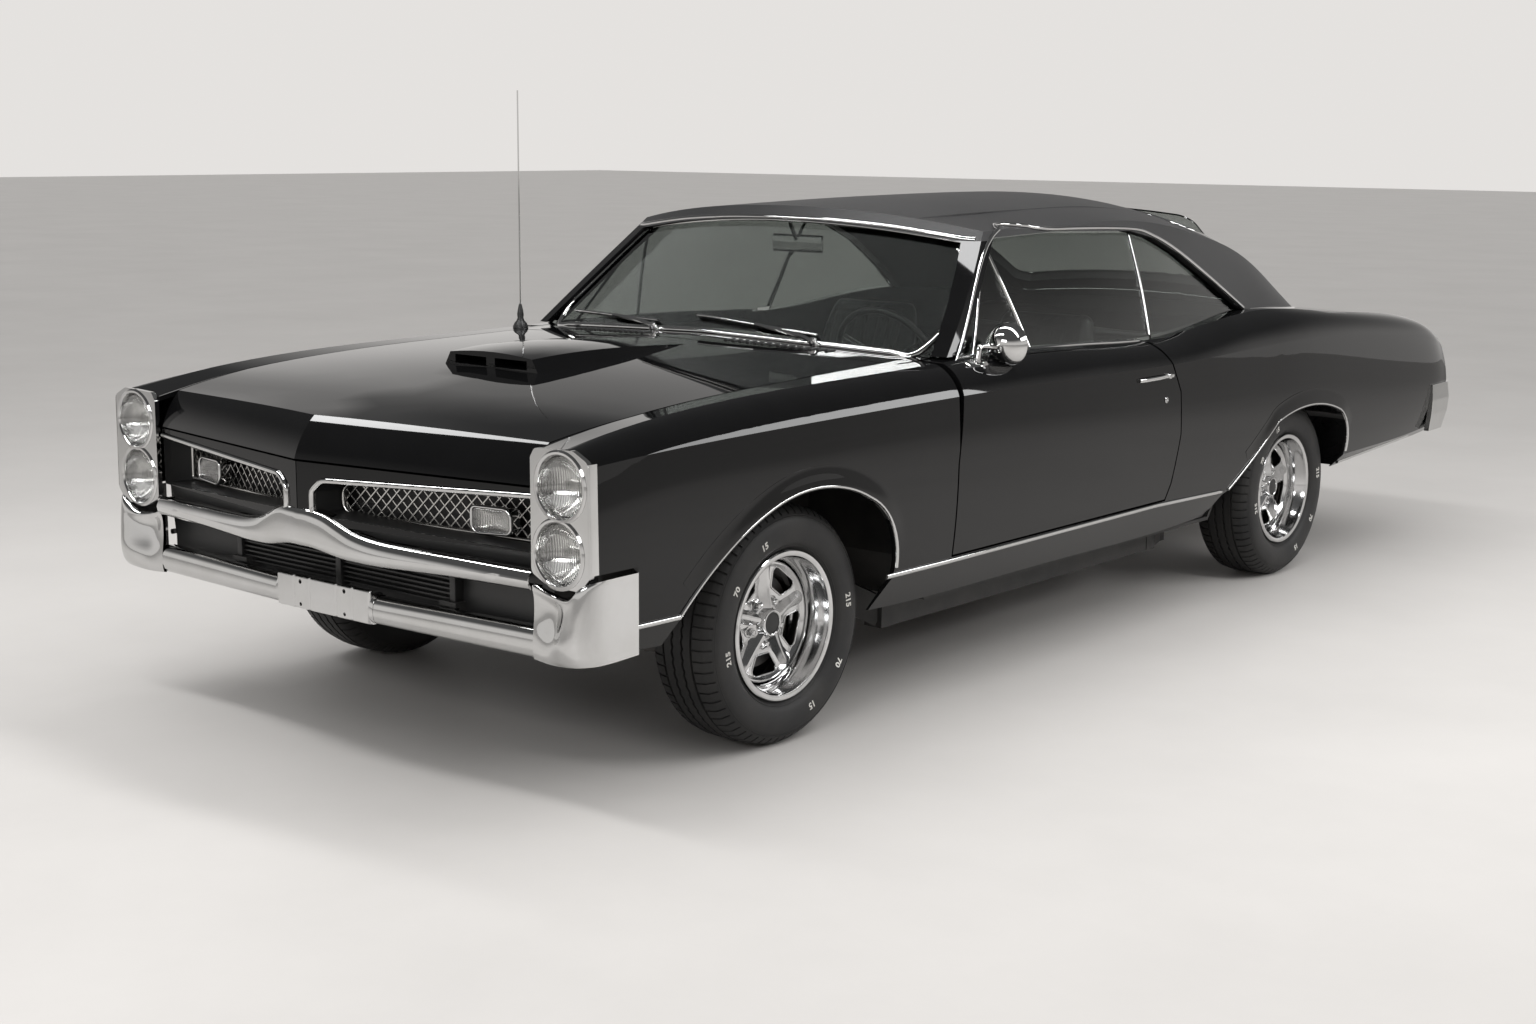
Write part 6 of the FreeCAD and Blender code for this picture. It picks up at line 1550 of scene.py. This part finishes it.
class HARDTOP_OT_small_parts(bpy.types.Operator):
    """Adds the door mirror, handles, locks, wipers, louvres, antenna base, roof seams and tail trim"""

    bl_idname = "hardtop.small_parts"
    bl_label = "Small parts"

    def execute(self, context):
        shell, glass = self.door_mirror()
        add_piece("door_mirror", shell, CHROME, "door_left", replaces=("mirror_left",))
        add_piece("door_mirror_glass", glass, MIRROR, "door_left")
        add_pair("handle", self.handle(), CHROME, DOORS, (("door_handle_left",), ("door_handle_right",)))
        add_pair("door_lock", lathe(DOOR_LOCK, *SURFACE.side(*DOOR_LOCK_PLACE), 28), CHROME, DOORS)
        arms, rubbers = self.wipers()
        antenna = lathe(ANTENNA_FOOT, SURFACE.top(*ANTENNA_PLACE)[0] - Z * 0.004, Z, 36)
        for name, mesh, look in (
                ("wiper_arms", arms, CHROME), ("wiper_blades", rubbers, BLACK),
                ("cowl_louvres", self.louvres(), BLACK), ("antenna_base", antenna, BLACK),
                ("tail_panel", self.tail_panel(), PAINT), ("tail_panel_bead", self.tail_bead(), CHROME)):
            add_piece(name, mesh, look)
        for name, mesh, look in (
                ("roof_seam", self.roof_seam(), ("vinyl_top", "grained vinyl top")),
                ("tail_moulding", side_strip(drawn(TAIL_LINE), SURFACE, 0.014, 0.005), CHROME),
                ("marker_lamp_frame", self.lamp_frame(), CHROME),
                ("exhaust_tip", lathe(PIPE_TIP, PIPE_END, Y, 36), ("exhaust_steel", "exhaust steel"))):
            add_pair(name, mesh, look)
        add_piece("lid_lock", lathe(LID_LOCK, *SURFACE.top(*LID_LOCK_PLACE), 28), CHROME, "trunk_lid")
        return {"FINISHED"}

    def tail_panel(self):
        """The tail panel: up from the bumper to the lid, then forward under the lid's edge."""
        face, rows = TAIL_FACE_Y, []
        for x, top in smooth_table(TAIL_PANEL, 4):
            outer = [(face, 0.6), (face, 0.765), (2.549, 0.776), (2.543, top - 0.004), (2.533, top),
                     (2.495, top)]
            inner = [(y - TAIL_PLATE, z - (TAIL_PLATE if z > 0.77 else 0.0)) for y, z in reversed(outer)]
            rows.append([Vector((x, y, z)) for y, z in [*outer, *inner]])
        return rows_mesh([[flipped(p) for p in row] for row in rows[:0:-1]] + rows)

    def tail_bead(self):
        """A thin bright bead round the tail panel's flat field."""
        half, low, high = 0.768, 0.636, 0.758
        line = rounded_outline([(-half, low), (-half, high), (half, high), (half, low)], [0.014] * 4)
        path = [Vector((p.x, TAIL_FACE_Y, p.y)) for p in line]
        return sweep(path, Y, half_round(0.006, 0.0035), closed=True)

    def door_mirror(self):
        """A round mirror on a curved stalk from a long pad on the door's shoulder."""
        head, foot = MIRROR_HEAD, MIRROR_FOOT
        place, _ = SURFACE.top(foot.x, foot.y)
        path = smooth_through([place - Z * 0.004, place + Vector((0, 0.002, 0.02)),
                               place + Vector((0, 0.02, 0.048)), head - Vector((0.004, 0.014, 0.01))], 6)
        rows = []
        for t in (-1 + i / 6 for i in range(13)):
            half, rise = (math.sqrt(max(0.0, 1 - abs(t) ** power)) for power in (3, 4))
            row = []
            for across in (-1 + j / 4 for j in range(9)):
                spot, _ = SURFACE.top(foot.x + 0.017 * half * across, foot.y + 0.058 * t)
                row.append(spot + Z * (0.009 * (1 - across ** 4) * rise - 0.001))
            rows.append(row)
        glass = lathe([(0.06, 0.019), (0.03, 0.0196), (0.0001, 0.0198)], head, Y)
        return joined([lathe(MIRROR_SHELL, head, Y, 64), sweep(path, X, round_profile(0.0085, 16)),
                       rows_mesh(rows, tube=False)]), glass

    def handle(self):
        """A bowed bar over two feet, with a round push button at its rear."""
        rows = []
        for t in (i / 24 for i in range(25)):
            lift = 0.004 + 0.008 * math.sin(math.pi * min(1.0, t / 0.8)) ** 0.5 if t < 0.8 else 0.006
            place, _ = SURFACE.side(HANDLE_Y0 + HANDLE_LENGTH * t, HANDLE_Z)
            base = Vector((min(place.x, HANDLE_X_MAX) + lift, place.y, HANDLE_Z))
            rows.append([base + Vector((0.0042 * math.cos(angle), 0, 0.0068 * math.sin(angle)))
                         for angle in turns(12)])
        place, _ = SURFACE.side(BUTTON_Y, HANDLE_Z)
        button = [(0.0095, -0.002), (0.0095, 0.01), (0.0078, 0.0125), (0.0001, 0.013)]
        return joined([rows_mesh(rows), lathe(button, place, X, 28)])

    def wipers(self):
        """Two arms from their pivots on the cowl, with their blades laid along the foot of the glass."""
        def on_glass(x, rise, ahead):
            z = SURFACE.top(x, screen_y(x, 0.99, GLASS_FRONT_BACK))[0].z + rise
            return Vector((x, screen_y(x, z, GLASS_FRONT_BACK) - ahead, z))

        arms, rubbers = [], []
        for pivot_x, tip_x in WIPERS:
            middle_x = (pivot_x + tip_x) / 2
            pivot = on_glass(pivot_x, 0.01, 0.03)
            bend = on_glass(pivot_x + math.copysign(0.06, tip_x - pivot_x), 0.024, 0.026)
            blade = [on_glass(middle_x + (tip_x - middle_x) * (-0.95 + 1.95 * t), 0.026 + 0.02 * t, 0.01)
                     for t in (i / 12 for i in range(13))]
            arms += [
                sweep(smooth_through([pivot, bend, on_glass(middle_x, 0.04, 0.02)], 6), WIPER_OUT,
                      [(-0.0065, -0.0015), (0.0065, -0.0015), (0.005, 0.003), (-0.005, 0.003)]),
                lathe([(0.0001, 0.016), (0.01, 0.014), (0.013, 0.004), (0.014, -0.014)], pivot,
                      (0, -0.35, 0.94), 28),
                sweep([p + Vector((0, -0.0035, 0.0035)) for p in blade], WIPER_OUT,
                      half_round(0.0085, 0.003, 6, 0.0012)),
            ]
            rubbers.append(sweep(blade, WIPER_OUT, [(-0.0022, -0.007), (0.0022, -0.007), (0.0022, 0.0015),
                                                    (-0.0022, 0.0015)]))
        return joined(arms), joined(rubbers)

    def louvres(self):
        """Two fields of short raised louvres in the panel ahead of the windshield."""
        slots = []
        for x in (side * (0.17 + 0.026 * k) for side in (1, -1) for k in range(14)):
            y = screen_y(x, 0.985) - 0.04
            spots = [SURFACE.top(x, y + dy)[0] for dy in (-0.02, -0.007, 0.007, 0.02)]
            slots.append(sweep(spots, Z, half_round(0.014, 0.0035, 6)))
        return joined(slots)

    def roof_seam(self):
        """The welded seam that runs back over the vinyl from the windshield to the backlight."""
        path, outs = zip(*[CAB.top(SEAM_X, SEAM_Y0 + SEAM_LENGTH * k / 39, 1.6) for k in range(40)])
        return sweep(path, outs, half_round(0.007, 0.0018, 6))

    def lamp_frame(self):
        """A bright frame with three bars round the tail lamp in the bumper."""
        ring = [mm(p.x, LAMP_FACE_Y, p.y) for p in rounded_outline(LAMP_FRAME, [10] * 4)]
        (x0, _), (x1, _) = LAMP_FRAME[:2]
        return joined([sweep(ring, Y, half_round(0.008, 0.004, 6), closed=True)] + [
            sweep([mm(x, LAMP_FACE_Y - 1, z) for x in (x0, x1)], Y, half_round(0.005, 0.003, 6))
            for z in (516, 530, 544)])


# ------------------------------------------------------------------ studio
CAMERA_PLACE = (4.216, -5.8326, 1.6037)
CAMERA_YAW, CAMERA_PITCH, CAMERA_ROLL = (math.radians(a) for a in (-39.637, -10.319, 0.437))
CAMERA_LENS_MM = 48.66
FLOOR_HALF = 60
# Area lights: place, aim, size and share of the strongest lamp's power.
AREA_LIGHTS = {
    "overhead_left": ((1.5, -0.4, 4.4), (0.9, -0.4, 0.0), (0.5, 7.0), 1.0),
    "overhead_right": ((-1.5, -3.6, 4.4), (-0.9, -3.6, 0.0), (0.5, 4.0), 0.6),
    "left_side": ((5.5, 3.0, 3.2), (0.0, 0.5, 0.5), (5.0, 1.2), 0.8),
    "front": ((1.5, -8.0, 3.4), (0.0, -2.0, 0.6), (4.0, 1.2), 0.8),
}


def put(thing, place, turn):
    thing.location = place
    thing.rotation_mode = "QUATERNION"
    thing.rotation_quaternion = turn


def add_area_light(name, place, aim, size, power):
    data = bpy.data.lights.new(name, "AREA")
    data.shape = "RECTANGLE"
    data.size, data.size_y = size
    data.energy = power
    put(linked(name, data), place, (Vector(aim) - Vector(place)).to_track_quat("-Z", "Y"))


def add_even_light(strength):
    """Even light from above that lifts the whole floor without showing as a glare of its own."""
    data = bpy.data.lights.new("even_light", "SUN")
    data.energy, data.angle = strength, math.radians(120)
    linked("even_light", data).visible_glossy = False


def add_camera():
    sin_yaw, cos_yaw = math.sin(CAMERA_YAW), math.cos(CAMERA_YAW)
    sin_pitch, cos_pitch = math.sin(CAMERA_PITCH), math.cos(CAMERA_PITCH)
    forward = Vector((sin_yaw * cos_pitch, cos_yaw * cos_pitch, sin_pitch))
    level = Vector((cos_yaw, -sin_yaw, 0.0))
    right = math.cos(CAMERA_ROLL) * level + math.sin(CAMERA_ROLL) * level.cross(forward)
    data = bpy.data.cameras.new("studio_camera")
    data.lens = CAMERA_LENS_MM
    camera = linked("studio_camera", data)
    put(camera, CAMERA_PLACE, Matrix((right, right.cross(forward), -forward)).transposed().to_quaternion())
    bpy.context.scene.camera = camera


def add_world(strength):
    """A pale band round the horizon under a dimmer ceiling."""
    world = bpy.data.worlds.new("studio_world")
    world.use_nodes = True
    tree = world.node_tree
    place = add_node(tree, "TexCoord", {})
    split = add_node(tree, "SeparateXYZ", {"Vector": (place, "Generated")})
    ramp = add_node(tree, "ValToRGB", {"Fac": (split, "Z")})
    ramp.color_ramp.interpolation = "EASE"
    for element, position, colour in zip(ramp.color_ramp.elements, (0.1, 0.42),
                                         ((0.78, 0.76, 0.74, 1.0), (0.1, 0.1, 0.1, 1.0))):
        element.position, element.color = position, colour
    feed(tree.nodes["Background"], {"Color": (ramp, "Color"), "Strength": strength})
    bpy.context.scene.world = world


class HardtopStudio(bpy.types.PropertyGroup):
    """The floor and the light"""

    floor: FloatVectorProperty(name="Floor", description="Colour of the floor", subtype="COLOR",
                               default=(0.46, 0.445, 0.43), min=0.0, max=1.0)
    lamp_power: FloatProperty(name="Lamp power", description="Power of the strongest lamp", default=180.0,
                              min=0.0, unit="POWER")
    fill: FloatProperty(name="Even light", description="Strength of the even light from above", default=2.6,
                        min=0.0)
    world_strength: FloatProperty(name="Surroundings", description="Brightness of the pale surroundings",
                                  default=1.0, min=0.0)


class HARDTOP_OT_studio(bpy.types.Operator):
    """Sets a pale floor, soft lights and the camera round the car"""

    bl_idname = "hardtop.studio"
    bl_label = "Studio"

    def execute(self, context):
        values = context.scene.hardtop_studio
        context.scene.view_settings.view_transform = "Standard"
        colour = tuple(values.floor)
        corners = [(x * FLOOR_HALF, y * FLOOR_HALF, 0) for x, y in ((-1, -1), (1, -1), (1, 1), (-1, 1))]
        mesh = faces_mesh(corners, [(0, 1, 2, 3)])
        mesh.materials.append(finish("pale floor", colour, 0.5, spread=0.06, scale=2.5, specular=0.15,
                                     worn=[c * 0.93 for c in colour], worn_scale=0.8))
        linked("studio_floor", mesh)
        add_world(values.world_strength)
        for name, (place, aim, size, share) in AREA_LIGHTS.items():
            add_area_light(name, place, aim, size, values.lamp_power * share)
        add_even_light(values.fill)
        add_camera()
        return {"FINISHED"}


# ------------------------------------------------------------------ panel and registration
GROUPS = {"hardtop_paint": HardtopPaint, "hardtop_trim": HardtopTrim, "hardtop_cabin": HardtopCabin,
          "hardtop_studio": HardtopStudio}
STEPS = [HARDTOP_OT_finishes, HARDTOP_OT_side_mouldings, HARDTOP_OT_glass_mouldings,
         HARDTOP_OT_window_frames, HARDTOP_OT_front_bumper, HARDTOP_OT_nose, HARDTOP_OT_headlamps,
         HARDTOP_OT_wheels, HARDTOP_OT_seats, HARDTOP_OT_fittings, HARDTOP_OT_small_parts,
         HARDTOP_OT_studio]


class HARDTOP_PT_steps(bpy.types.Panel):
    """Lists the steps that dress the car"""

    bl_idname = "HARDTOP_PT_steps"
    bl_label = "Hardtop"
    bl_space_type = "VIEW_3D"
    bl_region_type = "UI"
    bl_category = "Hardtop"

    def draw(self, context):
        for step in STEPS:
            self.layout.operator(step.bl_idname)


CLASSES = [*GROUPS.values(), *STEPS, HARDTOP_PT_steps]


def register():
    for cls in CLASSES:
        bpy.utils.register_class(cls)
    for name, group in GROUPS.items():
        setattr(bpy.types.Scene, name, PointerProperty(type=group))


def unregister():
    for name in GROUPS:
        delattr(bpy.types.Scene, name)
    for cls in reversed(CLASSES):
        bpy.utils.unregister_class(cls)


def main():
    register()
    bpy.ops.hardtop.finishes()
    bpy.ops.hardtop.side_mouldings()
    bpy.ops.hardtop.glass_mouldings()
    bpy.ops.hardtop.window_frames()
    bpy.ops.hardtop.front_bumper()
    bpy.ops.hardtop.nose()
    bpy.ops.hardtop.headlamps()
    bpy.ops.hardtop.wheels()
    bpy.ops.hardtop.seats()
    bpy.ops.hardtop.fittings()
    bpy.ops.hardtop.small_parts()
    bpy.ops.hardtop.studio()


if __name__ == "__main__":
    main()
